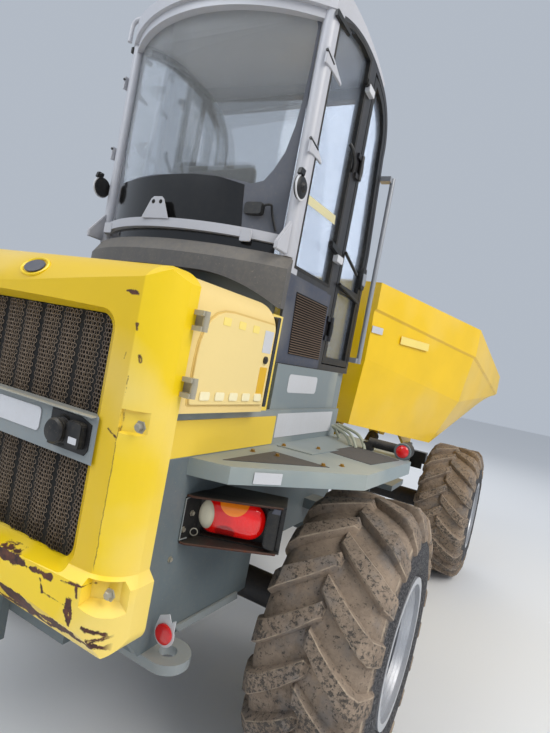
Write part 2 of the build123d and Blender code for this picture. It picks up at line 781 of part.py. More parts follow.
def skip_ribs(outside):
    """Pivot ears, ram ears, long bearers and rear corner stiffeners under the skip."""
    near = EAR_THICKNESS / 2
    ear_x0 = TIP_EAR_X - near
    ear_x1 = TIP_EAR_X + near
    ear = side_plate(
        [
            (TIP_AXIS_Y - EAR_RADIUS, TIP_AXIS_Z),
            (TIP_AXIS_Y + EAR_RADIUS, TIP_AXIS_Z),
            (TIP_AXIS_Y + EAR_AHEAD, RIB_TOP_Z),
            (TIP_AXIS_Y - EAR_BEHIND, RIB_TOP_Z),
            (TIP_AXIS_Y - EAR_BEHIND, RIB_BOTTOM_Z),
        ],
        ear_x0,
        ear_x1,
    )
    ear += bar_x(EAR_RADIUS, ear_x0, ear_x1, TIP_AXIS_Y, TIP_AXIS_Z)
    ear -= bar_x(TIP_PIN_RADIUS + RUN_GAP, ear_x0 - 1, ear_x1 + 1, TIP_AXIS_Y, TIP_AXIS_Z)
    ribs = both(ear)
    eye_near = RAM_EYE_WIDTH / 2 + SIDE_GAP
    for offset in (-eye_near - EAR_THICKNESS, eye_near):
        x0 = RAM_X + offset
        lug = side_plate(
            [
                (RAM_EYE_Y - RAM_EYE_RADIUS, RAM_EYE_Z),
                (RAM_EYE_Y + RAM_EYE_RADIUS, RAM_EYE_Z),
                (RAM_EYE_Y + LUG_SPREAD, RIB_TOP_Z),
                (RAM_EYE_Y - LUG_SPREAD, RIB_TOP_Z),
            ],
            x0,
            x0 + EAR_THICKNESS,
        )
        lug += bar_x(RAM_EYE_RADIUS, x0, x0 + EAR_THICKNESS, RAM_EYE_Y, RAM_EYE_Z)
        ribs += both(lug)
    cross_y = RAM_EYE_Y - CROSS_RIB_BEHIND
    ribs += block(-TIP_EAR_X, TIP_EAR_X, cross_y, cross_y + EAR_THICKNESS, RIB_BOTTOM_Z, RIB_TOP_Z)
    return ribs - outside


def bowed_face(half, end_y, middle_y, front_y):
    """A level face whose rear edge bows out in the middle."""
    lines = ThreePointArc((half, end_y), (0, middle_y), (-half, end_y))
    lines += Line((-half, end_y), (-half, front_y))
    lines += Line((-half, front_y), (half, front_y))
    lines += Line((half, front_y), (half, end_y))
    return make_face(lines)


def bowed_band(half, end_y, middle_y, depth, z0, z1):
    """An upright band that follows the bow of the cab's rear."""
    lines = ThreePointArc((half, end_y), (0, middle_y), (-half, end_y))
    lines += Line((-half, end_y), (-half, end_y + depth))
    lines += ThreePointArc((-half, end_y + depth), (0, middle_y + depth), (half, end_y + depth))
    lines += Line((half, end_y + depth), (half, end_y))
    return extrude(Pos(0, 0, z0) * make_face(lines), amount=z1 - z0, dir=(0, 0, 1))


def surround_plan(inset):
    """The surround seen from above, with its bowed rear face and soft corners."""
    face_y = REAR_FACE_Y + inset
    half = SURROUND_HALF - inset
    corner_x = FACE_CORNER_X - inset
    side_y = REAR_FACE_Y + CORNER_DEPTH + inset
    turn_x = half - (half - corner_x) * CORNER_TURN
    turn_y = face_y + FACE_BOW + (side_y - face_y - FACE_BOW) * CORNER_BULGE
    lines = ThreePointArc((corner_x, face_y + FACE_BOW), (0, face_y), (-corner_x, face_y + FACE_BOW))
    lines += ThreePointArc((-corner_x, face_y + FACE_BOW), (-turn_x, turn_y), (-half, side_y))
    lines += Line((-half, side_y), (-half, SURROUND_FRONT_Y))
    lines += Line((-half, SURROUND_FRONT_Y), (half, SURROUND_FRONT_Y))
    lines += Line((half, SURROUND_FRONT_Y), (half, side_y))
    lines += ThreePointArc((half, side_y), (turn_x, turn_y), (corner_x, face_y + FACE_BOW))
    return make_face(lines)


def surround_window(y, side, top, sill):
    """A rounded opening in the plane at y, larger than the grille by the given margins."""
    z0 = GRILLE_BOTTOM_Z - sill
    z1 = GRILLE_TOP_Z + top
    outline = RectangleRounded((GRILLE_HALF + side) * 2, z1 - z0, GRILLE_CORNER + side / 4)
    return Plane(origin=(0, y, (z0 + z1) / 2), x_dir=(1, 0, 0), z_dir=(0, -1, 0)) * outline


def rear_surround():
    """The cast yellow frame round the grille, which is also the counterweight."""
    low = extrude(Pos(0, 0, SURROUND_BOTTOM_Z) * surround_plan(0), amount=LEDGE_Z - SURROUND_BOTTOM_Z)
    high = extrude(
        Pos(0, 0, LEDGE_Z) * surround_plan(COLUMN_STEP), amount=SURROUND_TOP_Z - LEDGE_Z
    )
    ledge = loft(
        [
            Pos(0, 0, LEDGE_Z) * surround_plan(0),
            Pos(0, 0, LEDGE_Z + LEDGE_RISE) * surround_plan(COLUMN_STEP),
        ],
        ruled=True,
    )
    body = low + high + ledge
    x0 = -SURROUND_HALF - 1
    column_y = REAR_FACE_Y + COLUMN_STEP - 1
    round_y = column_y + TOP_ROUND
    round_z = SURROUND_TOP_Z - TOP_ROUND
    bend = TOP_ROUND * math.sqrt(0.5)
    lines = Polyline(
        (x0, round_y, SURROUND_TOP_Z),
        (x0, SURROUND_FRONT_Y, SURROUND_TOP_Z),
        (x0, SURROUND_FRONT_Y, SURROUND_BOTTOM_Z),
        (x0, REAR_FACE_Y + UNDERCUT, SURROUND_BOTTOM_Z),
        (x0, REAR_FACE_Y - 1, UNDERCUT_Z),
        (x0, REAR_FACE_Y - 1, LEDGE_Z + LEDGE_RISE),
        (x0, column_y, LEDGE_Z + LEDGE_RISE),
        (x0, column_y, round_z),
    )
    lines += ThreePointArc(
        (x0, column_y, round_z),
        (x0, round_y - bend, round_z + bend),
        (x0, round_y, SURROUND_TOP_Z),
    )
    side_view = extrude(make_face(lines), amount=(SURROUND_HALF + 1) * 2, dir=(1, 0, 0))
    front_view = make_face(
        Polyline(
            (-SURROUND_HALF, SURROUND_BOTTOM_Z),
            (SURROUND_HALF, SURROUND_BOTTOM_Z),
            (SURROUND_HALF, SURROUND_TOP_Z),
            (-SURROUND_HALF, SURROUND_TOP_Z),
            close=True,
        )
    )
    front_view = fillet(front_view.vertices().group_by(Axis.Y)[-1], SURROUND_TOP_CORNER)
    front_view = fillet(front_view.vertices().group_by(Axis.Y)[0], SURROUND_LOW_CORNER)
    plane = Plane(origin=(0, SURROUND_FRONT_Y, 0), x_dir=(1, 0, 0), z_dir=(0, -1, 0))
    body = body & side_view & extrude(plane * front_view, amount=SURROUND_DEPTH + 2)
    mesh_y = REAR_FACE_Y + GRILLE_INSET
    reveal = loft(
        [
            surround_window(REAR_FACE_Y - 2, REVEAL_SIDE, REVEAL_TOP, REVEAL_SILL),
            surround_window(mesh_y, 0, 0, 0),
        ],
        ruled=True,
    )
    body -= reveal
    body -= extrude(surround_window(SURROUND_FRONT_Y + 1, 0, 0, 0), amount=SURROUND_FRONT_Y + 1 - mesh_y)
    far_y = REAR_FACE_Y + CORNER_DEPTH - POCKET_SHORT
    near_y = REAR_FACE_Y - POCKET_OUT
    far_x = SURROUND_HALF + POCKET_OUT
    deep_x = SURROUND_HALF - POCKET_DEPTH
    deep_y = REAR_FACE_Y + FACE_BOW + POCKET_DEPTH
    for z in POCKET_HEIGHTS_Z:
        floor = z - POCKET_HALF
        pocket = flat_plate(
            [(FACE_CORNER_X, near_y), (far_x, near_y), (far_x, far_y), (deep_x, far_y), (FACE_CORNER_X, deep_y)],
            floor,
            z + POCKET_HALF,
        )
        scoop_plans = [(floor, deep_x, deep_y), (floor - POCKET_SCOOP, far_x - 1, near_y + 1)]
        scoop = loft(
            [
                make_face(
                    Polyline(
                        (FACE_CORNER_X, near_y, level),
                        (far_x, near_y, level),
                        (far_x, far_y, level),
                        (inner_x, far_y, level),
                        (FACE_CORNER_X, inner_y, level),
                        close=True,
                    )
                )
                for level, inner_x, inner_y in scoop_plans
            ],
            ruled=True,
        )
        body -= both(pocket + scoop)
    pin_x = SURROUND_HALF + SERVICE_HINGE_OUT
    pin_y = SURROUND_FRONT_Y + DOOR_GAP / 2
    inner_x = SURROUND_HALF - COLUMN_STEP - 10
    knuckles = Part()
    for z in SERVICE_HINGES_Z:
        for low_z in (z - RUN_GAP - SERVICE_STUB, z + SERVICE_KNUCKLE + RUN_GAP):
            high_z = low_z + SERVICE_STUB
            leaf_y = SURROUND_FRONT_Y - SERVICE_STUB
            knuckles += bar_z(SERVICE_PIN_RADIUS, low_z, high_z, pin_x, pin_y)
            knuckles += block(inner_x, pin_x, leaf_y, SURROUND_FRONT_Y, low_z, high_z)
    return body + both(knuckles)


def grille():
    """The mesh panel in the surround."""
    plate = surround_window(REAR_FACE_Y + GRILLE_INSET + GRILLE_THICKNESS, 0, 0, 0)
    return extrude(plate, amount=GRILLE_THICKNESS)


def grille_crossbar():
    """The flat grey bar across the grille, with its ends on the sloped reveal."""
    inner_y = REAR_FACE_Y + GRILLE_INSET
    outer_y = inner_y - CROSSBAR_THICKNESS
    outer_half = GRILLE_HALF + REVEAL_SIDE * CROSSBAR_THICKNESS / (GRILLE_INSET + 2) - 1
    return flat_plate(
        [(-GRILLE_HALF, inner_y), (-outer_half, outer_y), (outer_half, outer_y), (GRILLE_HALF, inner_y)],
        CROSSBAR_BOTTOM_Z,
        CROSSBAR_TOP_Z,
    )


def grille_socket():
    """The capped power socket on the crossbar."""
    face_y = REAR_FACE_Y + GRILLE_INSET - CROSSBAR_THICKNESS
    middle = (CROSSBAR_BOTTOM_Z + CROSSBAR_TOP_Z) / 2
    x = GRILLE_HALF - SOCKET_IN
    body = bar_y(SOCKET_RADIUS, face_y - SOCKET_PROUD, face_y, x, middle)
    cap_y = face_y - SOCKET_CAP_PROUD
    cap = block(x, x + SOCKET_CAP_OUT, cap_y, face_y, middle - SOCKET_CAP_HALF, middle + SOCKET_CAP_HALF)
    return body + cap


def service_door():
    """The right-hand engine door: a side panel with a rounded top that bends inwards."""
    rear = SURROUND_FRONT_Y + DOOR_GAP
    front = SERVICE_DOOR_FRONT_Y
    low = BELT_Z + DOOR_GAP
    inner_x = HOOD_HALF - SERVICE_DOOR_FLANGE
    block_out = block(inner_x, HOOD_HALF, rear, front, low, SERVICE_DOOR_TOP_Z)
    long_edge = block_out.edges().filter_by(Axis.Y).sort_by(lambda e: e.center().X + e.center().Z)[-1]
    block_out = fillet(long_edge, SERVICE_DOOR_ROUND)
    block_in = block(
        inner_x - 10,
        HOOD_HALF - DOOR_SHELL,
        rear - 1,
        front + 1,
        low - 1,
        SERVICE_DOOR_TOP_Z - DOOR_SHELL,
    )
    long_edge = block_in.edges().filter_by(Axis.Y).sort_by(lambda e: e.center().X + e.center().Z)[-1]
    block_in = fillet(long_edge, SERVICE_DOOR_ROUND - DOOR_SHELL)
    body = block_out - block_in
    pin_x = SURROUND_HALF + SERVICE_HINGE_OUT
    pin_y = SURROUND_FRONT_Y + DOOR_GAP / 2
    for z in SERVICE_HINGES_Z:
        body += block(HOOD_HALF, pin_x, rear, rear + SERVICE_STUB, z, z + SERVICE_KNUCKLE)
        body += bar_z(SERVICE_PIN_RADIUS, z, z + SERVICE_KNUCKLE, pin_x, pin_y)
    return body


def hood_frame():
    """The yellow bulkhead ahead of the engine doors."""
    low = DECK_Z
    high = HOOD_TOP_Z - HOOD_SHEET
    body = block(-BELT_HALF, BELT_HALF, BULKHEAD_REAR_Y, BULKHEAD_FRONT_Y, BELT_Z, high)
    inner = BELT_HALF - TAIL_WALL
    return body + block(-inner, inner, BULKHEAD_REAR_Y, BULKHEAD_FRONT_Y, low, BELT_Z)


def hood_top():
    """The dark sheet between the engine doors, from the surround to the cab's wall."""
    half = HOOD_HALF - SERVICE_DOOR_FLANGE - SIDE_GAP
    return block(-half, half, SURROUND_FRONT_Y, BACK_WALL_Y, HOOD_TOP_Z - HOOD_SHEET, HOOD_TOP_Z)


def hood_cover():
    """The dark bowed cover round the cab's rear base, arched over the hood."""
    middle_y = COVER_END_Y - COVER_BOW
    outer = extrude(
        Pos(0, 0, COVER_END_Z) * bowed_face(COVER_HALF, COVER_END_Y, middle_y, BACK_WALL_Y),
        amount=COVER_TOP_Z - COVER_END_Z,
    )
    top_face = outer.faces().sort_by(Axis.Z)[-1]
    top_edge = top_face.edges().sort_by(Axis.Y)[0]
    outer = chamfer(top_edge, length=COVER_SLOPE_IN, length2=COVER_SLOPE, reference=top_face)
    inner_middle_y = middle_y + COVER_WALL + COVER_SLOPE_IN
    hollow = bowed_face(COVER_HALF - COVER_WALL, COVER_END_Y + COVER_WALL / 2, inner_middle_y, BACK_WALL_Y)
    inner = extrude(Pos(0, 0, COVER_END_Z - 1) * hollow, amount=COVER_TOP_Z - COVER_END_Z - COVER_WALL)
    arch_half = COVER_HALF - COVER_WALL / 2
    low = COVER_END_Z - 1
    flat_x = arch_half * COVER_FLAT_SHARE
    bend_x = arch_half * COVER_BEND_SHARE
    bend_z = COVER_LIP_Z - COVER_BEND_DROP
    lines = Line((-arch_half, low), (arch_half, low))
    lines += ThreePointArc((arch_half, low), (bend_x, bend_z), (flat_x, COVER_LIP_Z))
    lines += Line((flat_x, COVER_LIP_Z), (-flat_x, COVER_LIP_Z))
    lines += ThreePointArc((-flat_x, COVER_LIP_Z), (-bend_x, bend_z), (-arch_half, low))
    plane = Plane(origin=(0, BACK_WALL_Y, 0), x_dir=(1, 0, 0), z_dir=(0, -1, 0))
    arch = extrude(plane * make_face(lines), amount=BACK_WALL_Y - middle_y + 10)
    return outer - inner - arch


def side_skirt():
    """The belt panel below the engine door and the cab's tub."""
    return block(BELT_HALF - TAIL_WALL, BELT_HALF, SURROUND_FRONT_Y, BELT_FRONT_Y, DECK_Z, BELT_Z)


def fender():
    """The right-hand fender over the rear wheel: a plate with a folded lip."""
    front_y = REAR_AXLE_Y + TYRE_RADIUS - 195
    points = [
        (BELT_HALF, REAR_AXLE_Y - TYRE_RADIUS - 340),
        (FENDER_REAR_CORNER, REAR_AXLE_Y - TYRE_RADIUS - 300),
        (FENDER_WIDE - 36, REAR_AXLE_Y - TYRE_RADIUS + 125),
        (FENDER_WIDE, REAR_AXLE_Y + 66),
        (FENDER_WIDE - 183, front_y),
        (BELT_HALF, front_y),
    ]
    face = make_face(Polyline(*[(x, y, DECK_Z - FENDER_DROP) for x, y in points], close=True))
    whole = extrude(face, amount=FENDER_DROP, dir=(0, 0, 1))
    hollow = extrude(
        offset(face, amount=-FENDER_PLATE, kind=Kind.INTERSECTION),
        amount=FENDER_DROP - FENDER_PLATE,
        dir=(0, 0, 1),
    )
    open_side = block(
        0,
        BELT_HALF + FENDER_PLATE * 2,
        REAR_AXLE_Y - TYRE_RADIUS - 330,
        front_y - FENDER_PLATE,
        0,
        DECK_Z - FENDER_PLATE,
    )
    return whole - hollow - open_side


def lamp_part(x0, x1, y0, y1, margin):
    """A box in the turned frame of the right-hand lamp, shrunk in height by a margin."""
    place = Pos(BELT_HALF, LAMP_REAR_Y, 0) * Rot(0, 0, LAMP_TURN_DEG)
    return place * block(x0, x1, y0, y1, LAMP_BOTTOM_Z + margin, LAMP_TOP_Z - margin)


def tail_lamp_housing():
    """The right-hand black lamp box, turned outwards on the tail's side."""
    body = lamp_part(-LAMP_DEPTH, LAMP_WIDTH, 0, LAMP_DEPTH, 0)
    body -= lamp_part(LENS_INSET, LAMP_WIDTH - LENS_INSET, -1, LENS_PROUD * 2, LENS_INSET)
    inside = block(0, BELT_HALF, REAR_FACE_Y, REAR_AXLE_Y, LAMP_BOTTOM_Z - 1, LAMP_TOP_Z + 1)
    return body - inside


def tail_lamp_lens():
    """The right-hand lamp lens in its box."""
    inset = LENS_INSET + LENS_FIT
    body = lamp_part(inset, LAMP_WIDTH - inset, -LENS_PROUD, LENS_PROUD * 2, inset)
    rear_edges = body.faces().sort_by(Axis.Y)[0].edges()
    return fillet(rear_edges, LENS_ROUND)


def tie_down_plate():
    """The right-hand level lashing plate with an upright hole, under the tail."""
    x = BELT_HALF + TIE_OUT
    body = block(
        RAIL_HALF + 60, x, TIE_Y - TIE_EDGE, TIE_Y + TIE_EDGE, TAIL_BOTTOM_Z - TIE_PLATE, TAIL_BOTTOM_Z
    )
    body += bar_z(TIE_EDGE, TAIL_BOTTOM_Z - TIE_PLATE, TAIL_BOTTOM_Z, x, TIE_Y)
    return body - bar_z(TIE_HOLE_RADIUS, TAIL_BOTTOM_Z - TIE_PLATE - 1, TAIL_BOTTOM_Z + 1, x, TIE_Y)


def tow_hitch():
    """The rear towing jaw with an upright pin hole, hung on the rear cross plate."""
    pin_y = REAR_FACE_Y + TOW_PIN_BEHIND
    back_y = RAIL_REAR_Y - TOW_PLATE
    body = block(-TOW_BACK_HALF, TOW_BACK_HALF, back_y, RAIL_REAR_Y, TOW_LOW_Z, TOW_BACK_TOP_Z)
    for low in (TOW_LOW_Z, TOW_LOW_Z + TOW_PLATE + TOW_JAW_GAP):
        body += block(-TOW_JAW, TOW_JAW, pin_y, back_y, low, low + TOW_PLATE)
        body += bar_z(TOW_JAW, low, low + TOW_PLATE, 0, pin_y)
    top = TOW_LOW_Z + TOW_PLATE * 2 + TOW_JAW_GAP
    return body - bar_z(TOW_PIN_RADIUS, TOW_LOW_Z - 1, top + 1, 0, pin_y)


# The door's lower edge, over the tub's sill
DOOR_LOW_Z = SILL_Z + 30


def cab_arch(inset, x0, x1):
    """The side of the cab above the sill, shrunk by an inset, as a solid between two X planes."""
    rear = CAB_REAR_Y + PILLAR_RADIUS
    shoulder_z = EAVE_Z + SHOULDER_RISE
    temple_z = EAVE_Z - TEMPLE_DROP
    cheek_z = EAVE_Z - CHEEK_DROP
    lines = Line((rear, SILL_Z), (rear, EAVE_Z))
    lines += ThreePointArc((rear, EAVE_Z), (CROWN_Y, EAVE_Z + CROWN_RISE), (SHOULDER_Y, shoulder_z))
    lines += ThreePointArc((SHOULDER_Y, shoulder_z), (BROW_Y, EAVE_Z - BROW_DROP), (TEMPLE_Y, temple_z))
    lines += Line((TEMPLE_Y, temple_z), (CAB_FRONT_Y, cheek_z))
    lines += Line((CAB_FRONT_Y, cheek_z), (CAB_FRONT_Y, SILL_Z))
    lines += Line((CAB_FRONT_Y, SILL_Z), (rear, SILL_Z))
    face = make_face(lines)
    if inset:
        face = offset(face, amount=-inset, kind=Kind.INTERSECTION)
    plane = Plane(origin=(x0, 0, 0), x_dir=(0, 1, 0), z_dir=(1, 0, 0))
    return extrude(plane * face, amount=x1 - x0)


def cab_opening(x0, x1, inset):
    """Everything inside the cab's side outline that is ahead of the middle pillar."""
    span = cab_arch(PILLAR_RADIUS + inset, x0, x1)
    ahead = block(
        x0 - 1,
        x1 + 1,
        B_PILLAR_REAR_Y + B_PILLAR_WIDTH + inset,
        CAB_FRONT_Y,
        DOOR_LOW_Z + inset,
        EAVE_Z + CROWN_RISE,
    )
    return span & ahead


def rear_side_opening(x0, x1, inset):
    """The quarter window between the rear pillar and the middle pillar."""
    span = cab_arch(PILLAR_RADIUS + inset, x0, x1)
    behind = block(
        x0 - 1,
        x1 + 1,
        CAB_REAR_Y,
        B_PILLAR_REAR_Y - inset,
        VENT_TOP_Z + WINDOW_RAIL + inset,
        EAVE_Z + CROWN_RISE,
    )
    return span & behind


def cab_frame():
    """Pillars, sills and rails of the cab, with the window and door openings cut."""
    x0 = CAB_HALF - CAB_WALL
    side = cab_arch(0, x0, CAB_HALF)
    side -= cab_opening(x0 - 1, CAB_HALF + 1, 0)
    side -= rear_side_opening(x0 - 1, CAB_HALF + 1, 0)
    side -= block(
        x0 - 1, CAB_HALF + 1, CAB_REAR_Y - 1, B_PILLAR_REAR_Y, SILL_Z - 1, VENT_TOP_Z
    )
    pillar_x = CAB_HALF - PILLAR_RADIUS
    pillar_y = CAB_REAR_Y + PILLAR_RADIUS
    side += bar_z(PILLAR_RADIUS, COVER_TOP_Z, EAVE_Z, pillar_x, pillar_y)
    body = both(side)
    middle_y = pillar_y - BOW_DEPTH
    for z0, z1 in [(HOOP_Z, HOOP_Z + HOOP_HEIGHT), (EAVE_Z - HOOP_HEIGHT, EAVE_Z)]:
        body += bowed_band(pillar_x, pillar_y - HOOP_DEPTH / 2, middle_y, HOOP_DEPTH, z0, z1)
    for z0, z1, y0, y1 in [
        (SILL_Z, SILL_Z + 50, CAB_FRONT_Y - CAB_WALL, CAB_FRONT_Y),
        (EAVE_Z - 10, EAVE_Z + SHOULDER_RISE - 8, SHOULDER_Y - CAB_WALL, SHOULDER_Y),
    ]:
        body += block(-x0, x0, y0, y1, z0, z1)
    knuckles = Part()
    for z in CAB_HINGES_Z:
        for low in (z - RUN_GAP - KNUCKLE_STUB, z + CAB_KNUCKLE + RUN_GAP):
            high = low + KNUCKLE_STUB
            knuckles += bar_z(CAB_PIN_RADIUS, low, high, CAB_PIN_X, CAB_PIN_Y)
            knuckles += block(CAB_HALF - 1, CAB_PIN_X, CAB_PIN_Y - 46, CAB_PIN_Y - 3, low, high)
    return body + both(knuckles)


def cab_door_frame():
    """The right-hand door's frame, in its opening with an even gap."""
    x0 = CAB_HALF - CAB_WALL
    outline = cab_opening(x0, CAB_HALF, DOOR_GAP)
    body = outline - cab_opening(x0 - 1, CAB_HALF + 1, DOOR_GAP + DOOR_RIM)
    rear = B_PILLAR_REAR_Y + B_PILLAR_WIDTH + DOOR_GAP
    # The inner rear corner swings forward under the falling roof line, so it is cut level there
    swing_y = CAB_PIN_Y + CAB_PIN_X - x0 + 1
    ahead = outline & block(x0 - 1, CAB_HALF + 1, swing_y, CAB_FRONT_Y, DOOR_LOW_Z, EAVE_Z + CROWN_RISE)
    level_z = ahead.bounding_box().max.Z
    body -= block(x0 - 1, CAB_HALF + 1, rear - 1, swing_y, level_z, EAVE_Z + CROWN_RISE)
    front = CAB_FRONT_Y - PILLAR_RADIUS - DOOR_GAP
    rail = block(x0, CAB_HALF, rear, front, DOOR_RAIL_Z, DOOR_RAIL_Z + DOOR_RIM)
    body += rail & cab_opening(x0, CAB_HALF, DOOR_GAP)
    for z in CAB_HINGES_Z:
        body += bar_z(CAB_PIN_RADIUS, z, z + CAB_KNUCKLE, CAB_PIN_X, CAB_PIN_Y)
        body += block(CAB_HALF, CAB_PIN_X, CAB_PIN_Y + 3, CAB_PIN_Y + 36, z + 8, z + CAB_KNUCKLE - 8)
    return body


def cab_door_glass():
    """The right-hand door's panes."""
    middle = CAB_HALF - CAB_WALL / 2
    x0 = middle - GLASS_THICKNESS / 2
    x1 = middle + GLASS_THICKNESS / 2
    pane = cab_opening(x0, x1, DOOR_GAP + DOOR_RIM)
    return pane - block(x0 - 1, x1 + 1, CAB_REAR_Y, CAB_FRONT_Y, DOOR_RAIL_Z, DOOR_RAIL_Z + DOOR_RIM)


def side_window():
    """The right-hand quarter window."""
    middle = CAB_HALF - CAB_WALL / 2
    pane = rear_side_opening(middle - GLASS_THICKNESS / 2, middle + GLASS_THICKNESS / 2, 0)
    pillar = bar_z(PILLAR_RADIUS, SILL_Z, EAVE_Z, CAB_HALF - PILLAR_RADIUS, CAB_REAR_Y + PILLAR_RADIUS)
    return pane - pillar


def cab_tub():
    """The cab's lower body: floor, side panels, toe board and the tall wall to the engine."""
    body = block(-TUB_HALF, TUB_HALF, TUB_REAR_Y, TUB_FRONT_Y, DECK_Z, SILL_Z)
    body += block(-TOE_HALF, TOE_HALF, TUB_FRONT_Y, CAB_FRONT_Y, DECK_Z, SILL_Z)
    inner_z = FLOOR_Z + FLOOR_THICKNESS
    body -= block(
        -TUB_HALF + PANEL_WALL,
        TUB_HALF - PANEL_WALL,
        TUB_REAR_Y + PANEL_WALL,
        TUB_FRONT_Y - PANEL_WALL,
        inner_z,
        SILL_Z - PANEL_WALL,
    )
    inner_half = TOE_HALF - PANEL_WALL
    body -= block(
        -inner_half, inner_half, BACK_WALL_Y + PANEL_WALL, CAB_FRONT_Y - PANEL_WALL, inner_z, SILL_Z + 1
    )
    wall_half = CAB_HALF - CAB_WALL
    body += block(-wall_half, wall_half, BACK_WALL_Y, BACK_WALL_Y + PANEL_WALL, SILL_Z - PANEL_WALL, COVER_TOP_Z)
    return body


def vent_panel():
    """The right-hand louvred panel beside the seat."""
    return side_plate(
        [
            (BACK_WALL_Y + VENT_LEAN, SILL_Z),
            (B_PILLAR_REAR_Y, SILL_Z),
            (B_PILLAR_REAR_Y, VENT_TOP_Z),
            (BACK_WALL_Y, VENT_TOP_Z),
        ],
        CAB_HALF - PANEL_WALL,
        CAB_HALF,
    )


def cab_roof():
    """The roof cap, crowned from front to rear and bowed at the rear."""
    pillar_y = CAB_REAR_Y + PILLAR_RADIUS
    middle_y = pillar_y - BOW_DEPTH - HOOP_DEPTH / 2
    top = EAVE_Z + CROWN_RISE
    sheet_y = middle_y - ROOF_THICKNESS
    lines = Line((sheet_y, EAVE_Z), (sheet_y, EAVE_Z + ROOF_THICKNESS / 2))
    lines += ThreePointArc(
        (sheet_y, EAVE_Z + ROOF_THICKNESS / 2),
        (CROWN_Y, top + ROOF_THICKNESS),
        (SHOULDER_Y, EAVE_Z + SHOULDER_RISE + ROOF_THICKNESS / 2),
    )
    lines += Line(
        (SHOULDER_Y, EAVE_Z + SHOULDER_RISE + ROOF_THICKNESS / 2), (SHOULDER_Y, EAVE_Z + SHOULDER_RISE)
    )
    lines += ThreePointArc((SHOULDER_Y, EAVE_Z + SHOULDER_RISE), (CROWN_Y, top), (pillar_y, EAVE_Z))
    lines += Line((pillar_y, EAVE_Z), (sheet_y, EAVE_Z))
    plane = Plane(origin=(-CAB_HALF - SIDE_GAP, 0, 0), x_dir=(0, 1, 0), z_dir=(1, 0, 0))
    sheet = extrude(plane * make_face(lines), amount=(CAB_HALF + SIDE_GAP) * 2)
    plan = extrude(
        Pos(0, 0, EAVE_Z - 1) * bowed_face(CAB_HALF, pillar_y - HOOP_DEPTH / 2, middle_y, SHOULDER_Y - 1),
        amount=CROWN_RISE + ROOF_THICKNESS * 2,
    )
    return sheet & plan


def rear_window():
    """The tall bowed pane between the rear pillars, inside the two hoops."""
    half = CAB_HALF - PILLAR_WIDTH - GLASS_FIT
    pillar_x = CAB_HALF - PILLAR_RADIUS
    end_y = CAB_REAR_Y + PILLAR_RADIUS + HOOP_DEPTH / 2
    middle_y = CAB_REAR_Y + PILLAR_RADIUS - BOW_DEPTH + HOOP_DEPTH
    top = EAVE_Z - GLASS_FIT
    pane = bowed_band(pillar_x, end_y, middle_y, GLASS_THICKNESS, COVER_TOP_Z, top)
    return pane & block(-half, half, middle_y - HOOP_DEPTH, REAR_AXLE_Y, COVER_TOP_Z, top)


def windscreen():
    """The front pane, bent back at the top to meet the roof."""
    half = CAB_HALF - CAB_WALL
    span = cab_arch(14, -half, half) - cab_arch(14 + GLASS_THICKNESS, -half - 1, half + 1)
    keep = block(-half, half, SHOULDER_Y, CAB_FRONT_Y, SILL_Z + 50, EAVE_Z + CROWN_RISE)
    return span & keep


def seat():
    """The driver's seat: pedestal, cushion and back as simple closed blocks."""
    rear = SEAT_Y - SEAT_LENGTH / 2
    front = SEAT_Y + SEAT_LENGTH / 2
    cushion_z = SEAT_TOP_Z - SEAT_CUSHION
    edge = 20
    base = block(
        -SEAT_HALF + edge, SEAT_HALF - edge, rear + edge, front - edge, FLOOR_Z + FLOOR_THICKNESS, cushion_z
    )
    cushion = fillet(block(-SEAT_HALF, SEAT_HALF, rear, front, cushion_z, SEAT_TOP_Z).edges(), edge * 2)
    back_low = SEAT_TOP_Z - edge
    back_high = back_low + SEAT_BACK_HEIGHT
    back = side_plate(
        [
            (rear + edge, back_low),
            (rear + edge + SEAT_BACK_THICKNESS, back_low),
            (rear + SEAT_BACK_THICKNESS - edge, back_high),
            (rear, back_high),
        ],
        -SEAT_HALF,
        SEAT_HALF,
    )
    back = fillet(back.edges().filter_by(Axis.X), edge)
    return base + cushion + back


def steering_column():
    """Column and wheel."""
    foot_z = FLOOR_Z + FLOOR_THICKNESS
    foot = (0, COLUMN_FOOT_Y, foot_z + COLUMN_RADIUS)
    head = (0, COLUMN_HEAD_Y, COLUMN_HEAD_Z)
    body = leaning_bar(COLUMN_RADIUS, foot, head)
    foot_half = COLUMN_RADIUS * 1.8
    body += block(
        -foot_half,
        foot_half,
        COLUMN_FOOT_Y - foot_half,
        COLUMN_FOOT_Y + foot_half,
        foot_z,
        foot_z + COLUMN_RADIUS * 2,
    )
    tilt = Vector(*head) - Vector(*foot)
    plane = Plane(origin=head, z_dir=tilt)
    wheel = plane * Torus(WHEEL_RING, WHEEL_GRIP)
    for angle in (90, 210, 330):
        spoke = Rot(0, 0, angle) * Pos(WHEEL_RING / 2, 0, 0) * Box(WHEEL_RING, SPOKE_WIDTH, SPOKE_WIDTH / 2)
        wheel += plane * spoke
    return body + wheel


def dashboard():
    """The instrument console on the toe board, beside the column."""
    front = CAB_FRONT_Y - CAB_WALL - SIDE_GAP
    points = [
        (front - CONSOLE_DEPTH, FLOOR_Z + FLOOR_THICKNESS),
        (front, FLOOR_Z + FLOOR_THICKNESS),
        (front, SILL_Z),
        (front - CONSOLE_DEPTH / 2, SILL_Z + CONSOLE_HEIGHT),
        (front - CONSOLE_DEPTH, SILL_Z + CONSOLE_HEIGHT - 20),
    ]
    return side_plate(points, CONSOLE_IN, CONSOLE_OUT)


